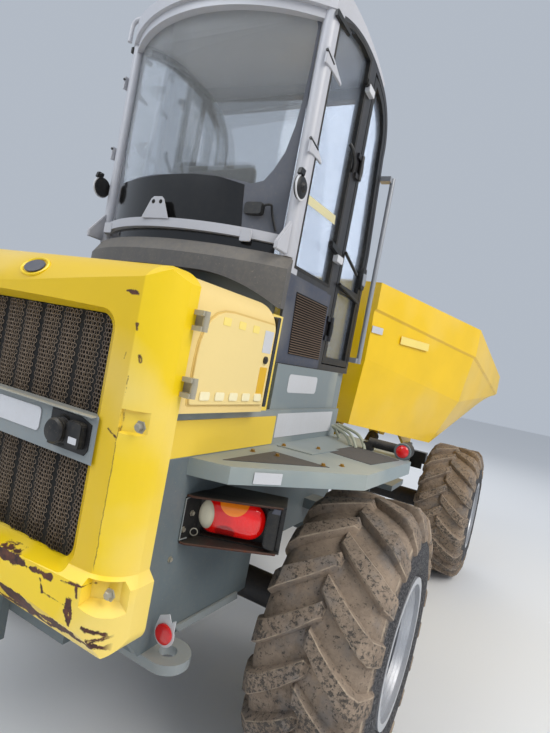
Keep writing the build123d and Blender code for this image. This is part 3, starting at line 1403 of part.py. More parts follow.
def grab_rail():
    """The right-hand entry rail ahead of the door."""
    x = CAB_HALF + GRAB_OUT
    y = CAB_FRONT_Y + GRAB_AHEAD
    body = bar_z(GRAB_RADIUS, GRAB_LOW_Z, GRAB_HIGH_Z, x, y)
    for z in (GRAB_LOW_Z + GRAB_RADIUS, GRAB_HIGH_Z - GRAB_RADIUS):
        low = z - GRAB_RADIUS
        high = z + GRAB_RADIUS
        body += block(CAB_HALF - GRAB_AHEAD / 2, x, CAB_FRONT_Y, y, low, high)
    return body


def access_step():
    """The right-hand entry steps ahead of the rear wheel."""
    y0 = STEP_REAR_Y
    y1 = STEP_REAR_Y + STEP_LENGTH
    body = Part()
    for z in STEP_HEIGHTS_Z:
        body += block(STEP_IN_X, STEP_OUT_X, y0, y1, z, z + STEP_PLATE)
    low = STEP_HEIGHTS_Z[0]
    high = STEP_HEIGHTS_Z[-1] + STEP_PLATE
    for y in (y0, y1 - STEP_POST):
        body += block(STEP_IN_X, STEP_IN_X + STEP_POST_WIDTH, y, y + STEP_POST, low, high)
    middle = STEP_HEIGHTS_Z[1]
    body += block(RAIL_HALF, STEP_IN_X, y0 + STEP_POST_WIDTH, y1 - STEP_POST_WIDTH, middle, middle + 60)
    body += block(STEP_IN_X, STEP_IN_X + STEP_POST, y0, y1, middle, middle + 60)
    return body


def marker_lamp():
    """The right-hand rubber arm with its round red lamp, on the fender's front corner."""
    x = FENDER_WIDE - MARKER_IN
    start_x = x - MARKER_ARM
    body = bar_x(MARKER_RADIUS * 0.6, start_x, x, MARKER_Y, MARKER_Z)
    foot = MARKER_RADIUS * 0.6
    body += block(start_x - foot, start_x + foot, MARKER_Y - foot, MARKER_Y + foot, DECK_Z, MARKER_Z)
    return body + bar_y(MARKER_RADIUS, MARKER_Y - MARKER_RADIUS, MARKER_Y + MARKER_RADIUS, x, MARKER_Z)


def headlamp():
    """The right-hand front lamp under the skip's lip, on its arm from the front rail."""
    y = FRONT_RAIL_FRONT_Y
    arm = block(
        FRONT_RAIL_HALF - FRONT_RAIL_WALL,
        HEADLAMP_OUT - HEADLAMP_ARM,
        y,
        y + HEADLAMP_ARM,
        HEADLAMP_Z - HEADLAMP_ARM * 2,
        HEADLAMP_Z,
    )
    lamp = block(
        HEADLAMP_IN,
        HEADLAMP_OUT,
        y,
        y + HEADLAMP_ARM * 3,
        HEADLAMP_Z,
        HEADLAMP_Z + HEADLAMP_HEIGHT,
    )
    return arm + lamp


def engine():
    """The engine and its pump as one plain block, with feet on the rails."""
    front = ENGINE_REAR_Y + ENGINE_LENGTH
    body = block(-ENGINE_HALF, ENGINE_HALF, ENGINE_REAR_Y, front, ENGINE_BOTTOM_Z, ENGINE_TOP_Z)
    inner = RAIL_HALF - RAIL_WALL
    foot_z = ENGINE_BOTTOM_Z + ENGINE_FOOT * 1.5
    for y in (ENGINE_REAR_Y + ENGINE_FOOT * 2.5, front - ENGINE_FOOT * 2.5):
        body += block(-inner, inner, y - ENGINE_FOOT, y + ENGINE_FOOT, foot_z, foot_z + ENGINE_FOOT * 1.5)
    return body


def make_nodes():
    """Every named piece of the machine."""
    nodes = {}
    nodes["rear_chassis"] = rear_chassis()
    nodes["rear_axle"] = axle(REAR_AXLE_Y, RAIL_HALF, RAIL_BOTTOM_Z)
    nodes["engine_block"] = engine()
    nodes["rear_surround"] = rear_surround()
    nodes["grille_panel"] = grille()
    nodes["grille_crossbar"] = grille_crossbar()
    nodes["power_socket"] = grille_socket()
    nodes["hood_cover"] = hood_cover()
    nodes["hood_frame"] = hood_frame()
    nodes["hood_top"] = hood_top()
    nodes["side_skirts"] = both(side_skirt())
    nodes["tail_lamp_housings"] = both(tail_lamp_housing())
    nodes["tail_lamp_lenses"] = both(tail_lamp_lens())
    nodes["tie_down_plates"] = both(tie_down_plate())
    nodes["tow_hitch"] = tow_hitch()
    nodes["marker_lamps"] = both(marker_lamp())
    nodes["access_steps"] = both(access_step())
    nodes["cab_tub"] = cab_tub()
    nodes["vent_panels"] = both(vent_panel())
    nodes["cab_frame"] = cab_frame()
    nodes["cab_roof"] = cab_roof()
    nodes["rear_window"] = rear_window()
    nodes["windscreen"] = windscreen()
    nodes["side_windows"] = both(side_window())
    nodes["seat"] = seat()
    nodes["steering_column"] = steering_column()
    nodes["dashboard"] = dashboard()
    nodes["grab_rails"] = both(grab_rail())
    nodes["centre_knuckle"] = centre_knuckle()
    nodes["steer_barrel"] = steer_barrel()
    nodes["steer_rod"] = steer_rod()
    nodes["front_chassis"] = front_chassis()
    nodes["front_axle"] = axle(FRONT_AXLE_Y, FRONT_RAIL_HALF, FRONT_RAIL_BOTTOM_Z)
    nodes["headlamps"] = both(headlamp())
    outside = skip_outside()
    nodes["skip_shell"] = outside - skip_inside()
    nodes["skip_ribs"] = skip_ribs(outside)
    nodes["tip_barrels"] = both(tip_barrel())
    nodes["tip_rods"] = both(tip_rod())

    right_hand = {
        "rear_fender": fender(),
        "service_door": service_door(),
        "cab_door_frame": cab_door_frame(),
        "cab_door_glass": cab_door_glass(),
    }
    for name, shape in right_hand.items():
        nodes[name + "_right"] = shape
        nodes[name + "_left"] = on_left(shape)
    for end, y in (("rear", REAR_AXLE_Y), ("front", FRONT_AXLE_Y)):
        wheel = {"tyre": tyre(HALF_TRACK, y), "rim": rim(HALF_TRACK, y)}
        for piece, shape in wheel.items():
            nodes[f"{piece}_{end}_right"] = shape
            nodes[f"{piece}_{end}_left"] = on_left(shape)
    return nodes


def main():
    os.makedirs("parts", exist_ok=True)
    for name, shape in make_nodes().items():
        export_step(shape, f"parts/{name}.step")


main()
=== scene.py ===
# %% [markdown]
# # A site dumper with a cab, seen from behind
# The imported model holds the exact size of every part. This lesson dresses it: the parts whose shape is right
# get a worn finish, and the parts that need finer shapes, such as tyres, mesh and lamps, get a piece of their own.

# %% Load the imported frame
import math
import bpy
import bmesh
from mathutils import Matrix, Vector


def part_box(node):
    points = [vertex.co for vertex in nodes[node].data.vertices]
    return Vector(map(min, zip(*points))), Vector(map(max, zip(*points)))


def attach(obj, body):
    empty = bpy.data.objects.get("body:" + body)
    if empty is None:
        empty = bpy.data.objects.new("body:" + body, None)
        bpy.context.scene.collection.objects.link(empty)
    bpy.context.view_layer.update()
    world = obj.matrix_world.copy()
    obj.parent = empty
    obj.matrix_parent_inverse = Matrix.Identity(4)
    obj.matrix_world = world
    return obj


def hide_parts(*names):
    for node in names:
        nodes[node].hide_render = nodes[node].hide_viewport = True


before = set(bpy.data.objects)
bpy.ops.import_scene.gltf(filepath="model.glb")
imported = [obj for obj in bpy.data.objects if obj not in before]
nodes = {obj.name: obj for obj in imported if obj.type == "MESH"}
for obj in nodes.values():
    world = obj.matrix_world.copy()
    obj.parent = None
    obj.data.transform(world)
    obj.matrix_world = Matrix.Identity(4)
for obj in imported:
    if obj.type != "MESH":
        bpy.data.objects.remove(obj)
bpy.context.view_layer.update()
tyre_low, tyre_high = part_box("tyre_rear_right")
AXLE_Y = (tyre_low.y + tyre_high.y) / 2
TYRE_RADIUS = (tyre_high.z - tyre_low.z) / 2
WHEEL_X = (tyre_low.x + tyre_high.x) / 2
print("nodes", len(nodes), "rear axle at", round(AXLE_Y, 3))

# %% [markdown]
# ## The camera
# The photo was taken close by, behind the right-hand rear corner, with a wide lens and the camera rolled by ten
# degrees. A camera's matrix has its right, up and backward directions as columns, so the view is written down as
# three angles and turned into those columns.

# %% Camera
CAMERA_AT = Vector((1.4815, -3.3537, 1.6975))
YAW, PITCH, ROLL = (math.radians(a) for a in (28.0, -1.2494, 10.6483))
FOCAL_PIXELS = 484.97
PICTURE_HEIGHT = 733
SENSOR = 36.0


def view_axes(yaw, pitch, roll):
    """Right, up and forward directions of the camera."""
    forward = Vector((-math.sin(yaw) * math.cos(pitch), math.cos(yaw) * math.cos(pitch), math.sin(pitch)))
    level = Vector((math.cos(yaw), math.sin(yaw), 0))
    rise = level.cross(forward)
    right = level * math.cos(roll) + rise * math.sin(roll)
    up = rise * math.cos(roll) - level * math.sin(roll)
    return right, up, forward


right, up, forward = view_axes(YAW, PITCH, ROLL)
turn = Matrix((right, up, -forward)).transposed().to_4x4()
lens = bpy.data.cameras.new("photo_camera")
lens.sensor_fit = "VERTICAL"
lens.sensor_height = SENSOR
lens.lens = SENSOR * FOCAL_PIXELS / PICTURE_HEIGHT
lens.clip_start = 0.05
camera = bpy.data.objects.new("photo_camera", lens)
camera.matrix_world = Matrix.Translation(CAMERA_AT) @ turn
bpy.context.scene.collection.objects.link(camera)
bpy.context.scene.camera = camera
print("lens", round(lens.lens, 2), "mm")

# %% [markdown]
# ## Light and floor
# The day was bright and hazy, so the shadows are soft. A pale sky colour lights everything evenly, and three large
# soft lights stand for the brighter parts of the sky: the right-hand side, behind and, weaker, ahead.

# %% Light and floor
world = bpy.data.worlds.new("pale_sky")
bpy.context.scene.world = world
world.use_nodes = True
sky = world.node_tree.nodes["Background"]
sky.inputs["Color"].default_value = (0.80, 0.88, 1.0, 1)
sky.inputs["Strength"].default_value = 0.56
bpy.context.scene.view_settings.view_transform = "Standard"


def soft_light(name, place, target, size, power, colour):
    """A square area light aimed at a point."""
    lamp = bpy.data.lights.new(name, "AREA")
    lamp.size = size
    lamp.energy = power
    lamp.color = colour
    holder = bpy.data.objects.new(name, lamp)
    aim = (Vector(target) - Vector(place)).to_track_quat("-Z", "Y").to_matrix().to_4x4()
    holder.matrix_world = Matrix.Translation(Vector(place)) @ aim
    bpy.context.scene.collection.objects.link(holder)


soft_light("sky_right", (6.0, -2.0, 7.0), (0, 0, 1), 5.0, 440, (1.0, 0.97, 0.92))
soft_light("sky_behind", (-2.5, -6.5, 7.0), (0, -1, 1), 5.0, 300, (0.92, 0.96, 1.0))
soft_light("sky_ahead", (-2.0, 8.0, 6.0), (0, 1, 1), 5.0, 130, (0.95, 0.97, 1.0))

FLOOR_HALF = 30
corners = [(x * FLOOR_HALF, y * FLOOR_HALF, 0) for x, y in ((-1, -1), (1, -1), (1, 1), (-1, 1))]
floor_mesh = bpy.data.meshes.new("studio_floor")
floor_mesh.from_pydata(corners, [], [(0, 1, 2, 3)])
floor = bpy.data.objects.new("studio_floor", floor_mesh)
bpy.context.scene.collection.objects.link(floor)
print("lights 3, floor", FLOOR_HALF * 2, "m across")

# %% [markdown]
# ## Building materials from nodes
# A few small helpers keep the material cells short. One adds a node and plugs in its values or links, others stand
# for the nodes that come up most, and one opens a shader group with named sockets.

# %% Node helpers


def paint(red, green, blue):
    """A colour as the eye sees it, turned into the linear values that a shader needs."""
    return tuple(((c + 0.055) / 1.055) ** 2.4 if c > 0.04045 else c / 12.92 for c in (red, green, blue)) + (1.0,)


def add(tree, kind, settings=None, **inputs):
    """A new node: settings are its options, inputs are values or the outputs of other nodes."""
    made = tree.nodes.new(kind)
    for key, value in (settings or {}).items():
        setattr(made, key, value)
    for key, value in inputs.items():
        place = made.inputs[int(key[1:]) if key[0] == "i" and key[1:].isdigit() else key.replace("_", " ")]
        if isinstance(value, bpy.types.NodeSocket):
            tree.links.new(value, place)
        else:
            place.default_value = value
    return made


def sum_of(tree, operation, first, second=0.0, third=0.0):
    """The result of a math node."""
    return add(tree, "ShaderNodeMath", {"operation": operation}, i0=first, i1=second, i2=third).outputs[0]


def between(tree, value, low, high, start=0.0, end=1.0):
    """A value spread from one range to another, and held at its ends."""
    made = add(tree, "ShaderNodeMapRange", Value=value, From_Min=low, From_Max=high, To_Min=start, To_Max=end)
    return made.outputs["Result"]


def mixed(tree, share, first, second):
    """Two colours mixed."""
    return add(tree, "ShaderNodeMixRGB", Fac=share, Color1=first, Color2=second).outputs["Color"]


def speckle(tree, where, scale, detail=5.0, rough=0.55):
    """Fractal noise as one value."""
    made = add(tree, "ShaderNodeTexNoise", Vector=where, Scale=scale, Detail=detail, Roughness=rough)
    return made.outputs["Fac"]


def stretched(tree, where, scale):
    """A pattern's coordinates, stretched along an axis."""
    return add(tree, "ShaderNodeMapping", Vector=where, Scale=scale).outputs["Vector"]


def open_group(name, inputs, outputs):
    """A shader group with named sockets."""
    tree = bpy.data.node_groups.new(name, "ShaderNodeTree")
    for title, kind, value in inputs:
        made = tree.interface.new_socket(name=title, in_out="INPUT", socket_type=kind)
        made.default_value = value
    for title, kind in outputs:
        tree.interface.new_socket(name=title, in_out="OUTPUT", socket_type=kind)
    return tree, tree.nodes.new("NodeGroupInput").outputs, tree.nodes.new("NodeGroupOutput").inputs


NUMBER, COLOUR = "NodeSocketFloat", "NodeSocketColor"
DUST = paint(0.66, 0.60, 0.50)
RUST_DARK = paint(0.20, 0.10, 0.09)
RUST_LIGHT = paint(0.52, 0.28, 0.15)
print("helpers ready")

# %% [markdown]
# ## Weather, the effect that every surface shares
# A working machine is never one even colour. The sun fades its paint in broad patches, and those pale patches also
# stand for a painted sheen; dust settles on what faces up and runs down in streaks, and chips turn brown. One group
# makes all of it from noise on the object's own coordinates, and each material gives it its own amounts.

# %% Weather group
weather, given, result = open_group(
    "weather",
    [
        ("Paint", COLOUR, (0.5, 0.5, 0.5, 1)),
        ("Fade", NUMBER, 0.1),
        ("Bleach", NUMBER, 0.0),
        ("Dust", NUMBER, 0.3),
        ("Dust Colour", COLOUR, DUST),
        ("Chips", NUMBER, 0.0),
        ("Chip Scale", NUMBER, 9.0),
        ("Gloss Loss", NUMBER, 0.4),
    ],
    [("Colour", COLOUR), ("Roughness", NUMBER), ("Height", NUMBER)],
)
where = add(weather, "ShaderNodeTexCoord").outputs["Object"]
normal = add(weather, "ShaderNodeNewGeometry").outputs["Normal"]
facing = add(weather, "ShaderNodeSeparateXYZ", Vector=normal).outputs["Z"]
broad = speckle(weather, where, 2.1, 4)
fine = speckle(weather, where, 60.0, 8, 0.7)
runs = speckle(weather, stretched(weather, where, (9, 9, 1.4)), 1.6, 6, 0.65)
tone = between(weather, broad, 0.3, 0.7, -1, 1)
shade = sum_of(weather, "MULTIPLY_ADD", tone, given["Fade"], 1.0)
faded = add(weather, "ShaderNodeVectorMath", {"operation": "SCALE"}, Vector=given["Paint"], Scale=shade)
faded = faded.outputs["Vector"]
# Pale patches: partly sun-faded paint and partly a painted sheen.
fade_and_sheen_patches = between(weather, speckle(weather, where, 2.4, 3, 0.4), 0.46, 0.62)
whitened = mixed(weather, 0.6, faded, paint(0.97, 0.93, 0.80))
faded = mixed(weather, sum_of(weather, "MULTIPLY", fade_and_sheen_patches, given["Bleach"]), faded, whitened)
settled = sum_of(weather, "MULTIPLY", between(weather, facing, 0.2, 0.9), 0.30)
lying = sum_of(weather, "MULTIPLY_ADD", runs, 0.34, settled)
lying = sum_of(weather, "MULTIPLY_ADD", fine, 0.55, lying)
dusty = sum_of(weather, "MULTIPLY", between(weather, lying, 0.40, 0.92), given["Dust"])
coated = mixed(weather, dusty, faded, given["Dust Colour"])
specks = between(weather, speckle(weather, where, 150.0, 3, 0.5), 0.66, 0.72)
coated = mixed(weather, sum_of(weather, "MULTIPLY", specks, given["Dust"]), coated, given["Dust Colour"])
flaw = speckle(weather, where, given["Chip Scale"], 10, 0.68)
edge = sum_of(weather, "MULTIPLY_ADD", given["Chips"], -0.22, 0.78)
chipped = between(weather, flaw, edge, sum_of(weather, "ADD", edge, 0.012))
rust = mixed(weather, fine, RUST_DARK, RUST_LIGHT)
weather.links.new(mixed(weather, chipped, coated, rust), result["Colour"])
rough = sum_of(weather, "MULTIPLY_ADD", dusty, 0.5, given["Gloss Loss"])
weather.links.new(sum_of(weather, "MULTIPLY_ADD", chipped, 0.3, rough), result["Roughness"])
height = sum_of(weather, "MULTIPLY_ADD", fine, 0.25, sum_of(weather, "MULTIPLY", chipped, -0.6))
weather.links.new(height, result["Height"])
print("weather group", len(weather.nodes), "nodes")

# %% [markdown]
# ## A worn line
# Paint goes first where something rubs: along the bumper's upper edge, its bottom lip and the fold round the grille.
# This group takes the distance to such a line and breaks it up with noise, so the bare strip is ragged.

# %% Worn line group
worn_line, given, result = open_group(
    "worn_line",
    [("Distance", NUMBER, 0.0), ("Width", NUMBER, 0.02), ("Ragged", NUMBER, 0.03), ("Scale", NUMBER, 14.0)],
    [("Mask", NUMBER)],
)
where = add(worn_line, "ShaderNodeTexCoord").outputs["Object"]
wander = between(worn_line, speckle(worn_line, where, given["Scale"], 9, 0.66), 0.25, 0.75, -1, 1)
shifted = sum_of(worn_line, "MULTIPLY_ADD", wander, given["Ragged"], given["Distance"])
inside = sum_of(worn_line, "SUBTRACT", given["Width"], sum_of(worn_line, "ABSOLUTE", shifted))
worn_line.links.new(between(worn_line, inside, 0, 0.003), result["Mask"])
print("worn line group", len(worn_line.nodes), "nodes")

# %% [markdown]
# ## The finishes
# Each finish is one row: its colour as the eye sees it, how far it has faded, its dust, its chips, how dull it is, and
# anything else it needs. Pieces name their finish, and a dictionary keeps the material under that name, because the
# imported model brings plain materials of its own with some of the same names.

# %% Materials with the weather group
LOOKS = {}


def bare_material(name):
    """The tree and the main shader of a new material."""
    LOOKS[name] = bpy.data.materials.new(name)
    LOOKS[name].use_nodes = True
    tree = LOOKS[name].node_tree
    return tree, tree.nodes["Principled BSDF"]


def use_group(tree, group, **inputs):
    """One of the shared groups, placed in a material."""
    return add(tree, "ShaderNodeGroup", {"node_tree": group}, **inputs).outputs


def bumped(tree, shader, height, strength, distance):
    """Relief on a shader's normal."""
    relief = add(tree, "ShaderNodeBump", Strength=strength, Distance=distance, Height=height)
    tree.links.new(relief.outputs["Normal"], shader.inputs["Normal"])


def object_place(tree):
    """The object's own coordinates, as a whole and as three numbers."""
    where = add(tree, "ShaderNodeTexCoord").outputs["Object"]
    return where, add(tree, "ShaderNodeSeparateXYZ", Vector=where).outputs


def worn(name, colour, fade, dust, chips, gloss, metal=0.0, coat=0.0, chip_scale=9.0, bump=0.3, dirt=DUST, bleach=0.0):
    """A weathered finish, ready for more nodes."""
    tree, shader = bare_material(name)
    made = use_group(
        tree, weather, Paint=paint(*colour), Fade=fade, Bleach=bleach, Dust=dust, Dust_Colour=dirt,
        Chips=chips, Chip_Scale=chip_scale, Gloss_Loss=gloss,
    )
    tree.links.new(made["Colour"], shader.inputs["Base Color"])
    tree.links.new(made["Roughness"], shader.inputs["Roughness"])
    bumped(tree, shader, made["Height"], bump, 0.002)
    shader.inputs["Metallic"].default_value = metal
    shader.inputs["Coat Weight"].default_value = coat
    return tree, shader, made


YELLOW = (0.965, 0.815, 0.03)
CAB_LIGHT = (0.73, 0.73, 0.75)
WORN_ROWS = [
    # name, colour, fade, dust, chips, dullness, more
    ("yellow_paint", YELLOW, 0.05, 0.05, 0.10, 0.34, {"coat": 0.15, "bleach": 0.42}),
    ("skip_paint", (0.97, 0.79, 0.03), 0.06, 0.04, 0.12, 0.38, {"chip_scale": 6.0, "coat": 0.1, "bleach": 0.12}),
    ("field_yellow", (0.94, 0.80, 0.27), 0.04, 0.06, 0.0, 0.4, {}),
    ("pale_field", (0.945, 0.84, 0.56), 0.03, 0.06, 0.0, 0.36, {}),
    # This deeper cream is painted shade round the raised field of the doors.
    ("groove_cream", (0.86, 0.73, 0.42), 0.03, 0.1, 0.0, 0.4, {}),
    ("pale_block", (0.975, 0.925, 0.75), 0.03, 0.06, 0.0, 0.36, {}),
    ("chassis_grey", (0.375, 0.415, 0.43), 0.10, 0.32, 0.12, 0.46, {}),
    ("tub_grey", (0.50, 0.54, 0.55), 0.05, 0.22, 0.10, 0.42, {"bleach": 0.35}),
    ("bar_grey", (0.52, 0.545, 0.55), 0.08, 0.35, 0.12, 0.46, {}),
    ("flange_cream", (0.66, 0.65, 0.60), 0.08, 0.4, 0.1, 0.5, {}),
    ("fender_grey", (0.53, 0.58, 0.59), 0.07, 0.24, 0.06, 0.42, {"bleach": 0.2}),
    ("slate_panel", (0.25, 0.27, 0.33), 0.12, 0.30, 0.0, 0.42, {"bleach": 0.25}),
    ("cover_brown", (0.37, 0.36, 0.35), 0.16, 0.65, 0.0, 0.60, {"dirt": paint(0.56, 0.52, 0.46)}),
    ("axle_black", (0.10, 0.10, 0.11), 0.2, 0.6, 0.2, 0.6, {"dirt": paint(0.36, 0.30, 0.24)}),
    ("black_plastic", (0.06, 0.06, 0.065), 0.15, 0.16, 0.0, 0.42, {}),
    ("gloss_black", (0.030, 0.030, 0.036), 0.1, 0.05, 0.0, 0.16, {"coat": 0.4}),
    ("black_rubber", (0.09, 0.09, 0.095), 0.2, 0.25, 0.0, 0.62, {}),
    ("rail_steel", (0.62, 0.63, 0.65), 0.08, 0.2, 0.1, 0.36, {"metal": 0.3}),
    ("zinc", (0.66, 0.64, 0.58), 0.2, 0.35, 0.2, 0.4, {"metal": 0.6, "chip_scale": 40.0}),
    ("yellow_zinc", (0.66, 0.50, 0.20), 0.2, 0.35, 0.35, 0.4, {"metal": 0.7, "chip_scale": 60.0}),
    ("fin_olive", (0.66, 0.67, 0.59), 0.1, 0.2, 0.0, 0.5, {}),
    ("label_white", (0.80, 0.80, 0.81), 0.03, 0.20, 0.0, 0.5, {}),
    ("label_yellow", (0.88, 0.68, 0.06), 0.05, 0.15, 0.0, 0.5, {}),
    ("pale_patch", (0.975, 0.875, 0.48), 0.04, 0.1, 0.0, 0.5, {}),
    ("cream_tape", (0.84, 0.80, 0.62), 0.05, 0.2, 0.0, 0.7, {}),
    ("anti_slip", (0.27, 0.26, 0.26), 0.10, 0.16, 0.0, 0.85, {"bump": 0.9}),
    ("rim_silver", (0.74, 0.75, 0.77), 0.06, 0.35, 0.05, 0.32, {"metal": 0.45, "dirt": paint(0.50, 0.44, 0.38)}),
    ("ram_chrome", (0.80, 0.81, 0.83), 0.03, 0.12, 0.0, 0.12, {"metal": 1.0}),
    # This near-black is painted shade, for sheets set where only shade shows.
    ("mesh_shade", (0.035, 0.03, 0.028), 0.2, 0.10, 0.0, 0.9, {}),
    ("slat_brown", (0.36, 0.295, 0.25), 0.25, 0.35, 0.25, 0.7, {"dirt": paint(0.52, 0.42, 0.32)}),
    ("rusty_lip", (0.085, 0.085, 0.09), 0.2, 0.08, 0.12, 0.5, {"chip_scale": 16.0}),
    ("rusty_edge", (0.30, 0.18, 0.14), 0.4, 0.1, 0.75, 0.8, {"chip_scale": 40.0}),
    ("cab_grey", CAB_LIGHT, 0.04, 0.30, 0.03, 0.38, {}),
    ("printed_grey", (0.36, 0.37, 0.40), 0.05, 0.2, 0.0, 0.3, {}),
]
for name, colour, fade, dust, chips, gloss, more in WORN_ROWS:
    worn(name, colour, fade, dust, chips, gloss, **more)
print("materials", len(LOOKS))

# %% [markdown]
# ## Finishes that change across a part
# The door panels turn greasy grey at their hinge knuckles, the grille's mesh has painted shade on one face of its
# pleats and is caked near its foot, and the cab's frame is light grey behind and dark slate round the doors.

# %% Panel, mesh and cab frame materials
BARE_METAL = paint(0.66, 0.63, 0.55)
PANEL_EDGE_X = 0.6615
tree, shader, made = worn("pale_panel", (0.935, 0.815, 0.52), 0.03, 0.06, 0.0, 0.38)
where, place = object_place(tree)
knuckle = between(tree, sum_of(tree, "ABSOLUTE", place["X"]), PANEL_EDGE_X, PANEL_EDGE_X + 0.0005)
tree.links.new(mixed(tree, knuckle, made["Colour"], BARE_METAL), shader.inputs["Base Color"])

tree, shader, made = worn("mesh_brown", (0.52, 0.45, 0.38), 0.25, 0.4, 0.25, 0.6, metal=0.1)
where, place = object_place(tree)
# Painted shade: the face of each fold that turns from the light is mixed towards dark brown.
pleat = add(tree, "ShaderNodeAttribute", {"attribute_name": "pleat"}).outputs["Fac"]
pleat_shaded = mixed(tree, sum_of(tree, "MULTIPLY", pleat, 0.40), made["Colour"], paint(0.22, 0.165, 0.13))
low_dirt = sum_of(tree, "MULTIPLY_ADD", speckle(tree, where, 25.0, 8, 0.7), -0.16, place["Z"])
pleat_shaded = mixed(tree, between(tree, low_dirt, 1.06, 1.01), pleat_shaded, paint(0.30, 0.25, 0.20))
tree.links.new(pleat_shaded, shader.inputs["Base Color"])

PILLAR_END_Y = AXLE_Y - 0.325
tree, shader, made = worn("cab_frame_paint", CAB_LIGHT, 0.04, 0.16, 0.05, 0.36)
dark = use_group(tree, weather, Paint=paint(0.12, 0.12, 0.135), Fade=0.1, Dust=0.22, Gloss_Loss=0.35)
front_part = between(tree, object_place(tree)[1]["Y"], PILLAR_END_Y, PILLAR_END_Y + 0.002)
tree.links.new(mixed(tree, front_part, made["Colour"], dark["Colour"]), shader.inputs["Base Color"])
print("materials", len(LOOKS))

# %% [markdown]
# ## Yellow casting with its bare strips
# The surround round the grille has the same yellow paint, and the worn line group along a table of short lines: the
# bumper's upper edge, a crack below it, its bottom lip, and the fold beside the grille. A line's mask needs only the
# distance to it, and a few vector nodes measure that.

# %% Casting material


def line_distance(tree, where, start, end):
    """How far a point is, seen from behind, from a line between two places (across, height)."""
    def vector(operation, **values):
        return add(tree, "ShaderNodeVectorMath", {"operation": operation}, **values).outputs

    a, b = Vector((start[0], 0, start[1])), Vector((end[0], 0, end[1]))
    flat = vector("MULTIPLY", i0=where, i1=(1, 0, 1))["Vector"]
    away = vector("SUBTRACT", i0=flat, i1=tuple(a))["Vector"]
    share = vector("DOT_PRODUCT", i0=away, i1=tuple((b - a) / (b - a).length_squared))["Value"]
    near = vector("SCALE", i0=tuple(b - a), Scale=between(tree, share, 0, 1))["Vector"]
    return vector("DISTANCE", i0=away, i1=near)["Value"]


BARE_LINES = [
    # start and end (across, height), half width, raggedness, its scale
    ((0.306, 1.036), (0.408, 1.034), 0.017, 0.022, 9.0),
    ((0.408, 1.034), (0.495, 1.037), 0.010, 0.018, 9.0),
    ((0.495, 1.037), (0.610, 1.050), 0.005, 0.012, 12.0),
    ((0.587, 1.041), (0.592, 1.018), 0.005, 0.006, 18.0),
    ((0.466, 1.020), (0.480, 0.992), 0.005, 0.010, 16.0),
    ((0.480, 0.992), (0.562, 0.986), 0.003, 0.008, 16.0),
    ((0.571, 0.999), (0.582, 0.945), 0.010, 0.018, 14.0),
    ((0.330, 0.935), (0.440, 0.912), 0.026, 0.024, 8.0),
    ((0.440, 0.915), (0.585, 0.920), 0.020, 0.022, 8.0),
    ((0.621, 0.953), (0.673, 0.947), 0.006, 0.010, 18.0),
    ((0.643, 0.923), (0.709, 0.952), 0.004, 0.010, 18.0),
    ((0.555, 1.790), (0.590, 1.786), 0.006, 0.008, 30.0),
    ((0.573, 1.440), (0.602, 1.424), 0.007, 0.008, 25.0),
    ((0.603, 1.712), (0.604, 1.698), 0.004, 0.004, 30.0),
    ((0.622, 1.636), (0.626, 1.622), 0.004, 0.006, 30.0),
    ((0.586, 1.636), (0.584, 1.622), 0.003, 0.005, 30.0),
    ((0.668, 1.742), (0.669, 1.738), 0.004, 0.001, 30.0),
]
tree, shader, made = worn("cast_yellow", YELLOW, 0.05, 0.04, 0.16, 0.36, coat=0.12, chip_scale=7.0, bleach=0.42)
where, place = object_place(tree)
across = sum_of(tree, "ABSOLUTE", place["X"])
bare = 0.0
for start, end, width, ragged, scale in BARE_LINES:
    away = line_distance(tree, where, start, end)
    patch = use_group(tree, worn_line, Distance=away, Width=width, Ragged=ragged, Scale=scale)["Mask"]
    bare = sum_of(tree, "MAXIMUM", bare, patch)
FOLD_X, LIP_Z = 0.604, 0.900
from_fold = sum_of(tree, "SUBTRACT", across, FOLD_X)
fold = use_group(tree, worn_line, Distance=from_fold, Width=0.0024, Ragged=0.0032, Scale=30.0)["Mask"]
rubbed = speckle(tree, stretched(tree, where, (1, 1, 14)), 1.3, 6, 0.7)
rubbed = sum_of(tree, "SUBTRACT", rubbed, between(tree, place["Z"], 1.35, 1.70, 0.0, 0.30))
fold = sum_of(tree, "MULTIPLY", fold, between(tree, rubbed, 0.36, 0.40))
fold = sum_of(tree, "MULTIPLY", fold, between(tree, place["Z"], 1.08, 1.10))
from_lip = sum_of(tree, "SUBTRACT", place["Z"], LIP_Z)
lip = use_group(tree, worn_line, Distance=from_lip, Width=0.008, Ragged=0.030, Scale=6.0)["Mask"]
bare = sum_of(tree, "MAXIMUM", bare, sum_of(tree, "MAXIMUM", fold, lip))
bare = sum_of(tree, "MULTIPLY", bare, between(tree, place["Y"], AXLE_Y - 1.19, AXLE_Y - 1.21))
# Painted shade: the reveal between the fold and the mesh turns from the light, so its yellow is mixed towards a deeper
# tone.
reveal_shade = between(tree, across, FOLD_X, FOLD_X - 0.004)
reveal_shade = sum_of(tree, "MULTIPLY", reveal_shade, between(tree, place["Z"], 1.07, 1.08))
reveal_shaded = mixed(tree, sum_of(tree, "MULTIPLY", reveal_shade, 0.35), made["Colour"], paint(0.72, 0.55, 0.05))
knuckle = sum_of(tree, "MULTIPLY", between(tree, across, 0.6795, 0.6800), between(tree, place["Z"], 1.10, 1.101))
reveal_shaded = mixed(tree, knuckle, reveal_shaded, BARE_METAL)
blotch = between(tree, speckle(tree, where, 40.0, 8, 0.7), 0.35, 0.65)
stain = mixed(tree, blotch, paint(0.17, 0.10, 0.10), paint(0.40, 0.22, 0.14))
tree.links.new(mixed(tree, bare, reveal_shaded, stain), shader.inputs["Base Color"])
tree.links.new(sum_of(tree, "MULTIPLY_ADD", bare, 0.4, made["Roughness"]), shader.inputs["Roughness"])
print("casting nodes", len(tree.nodes))
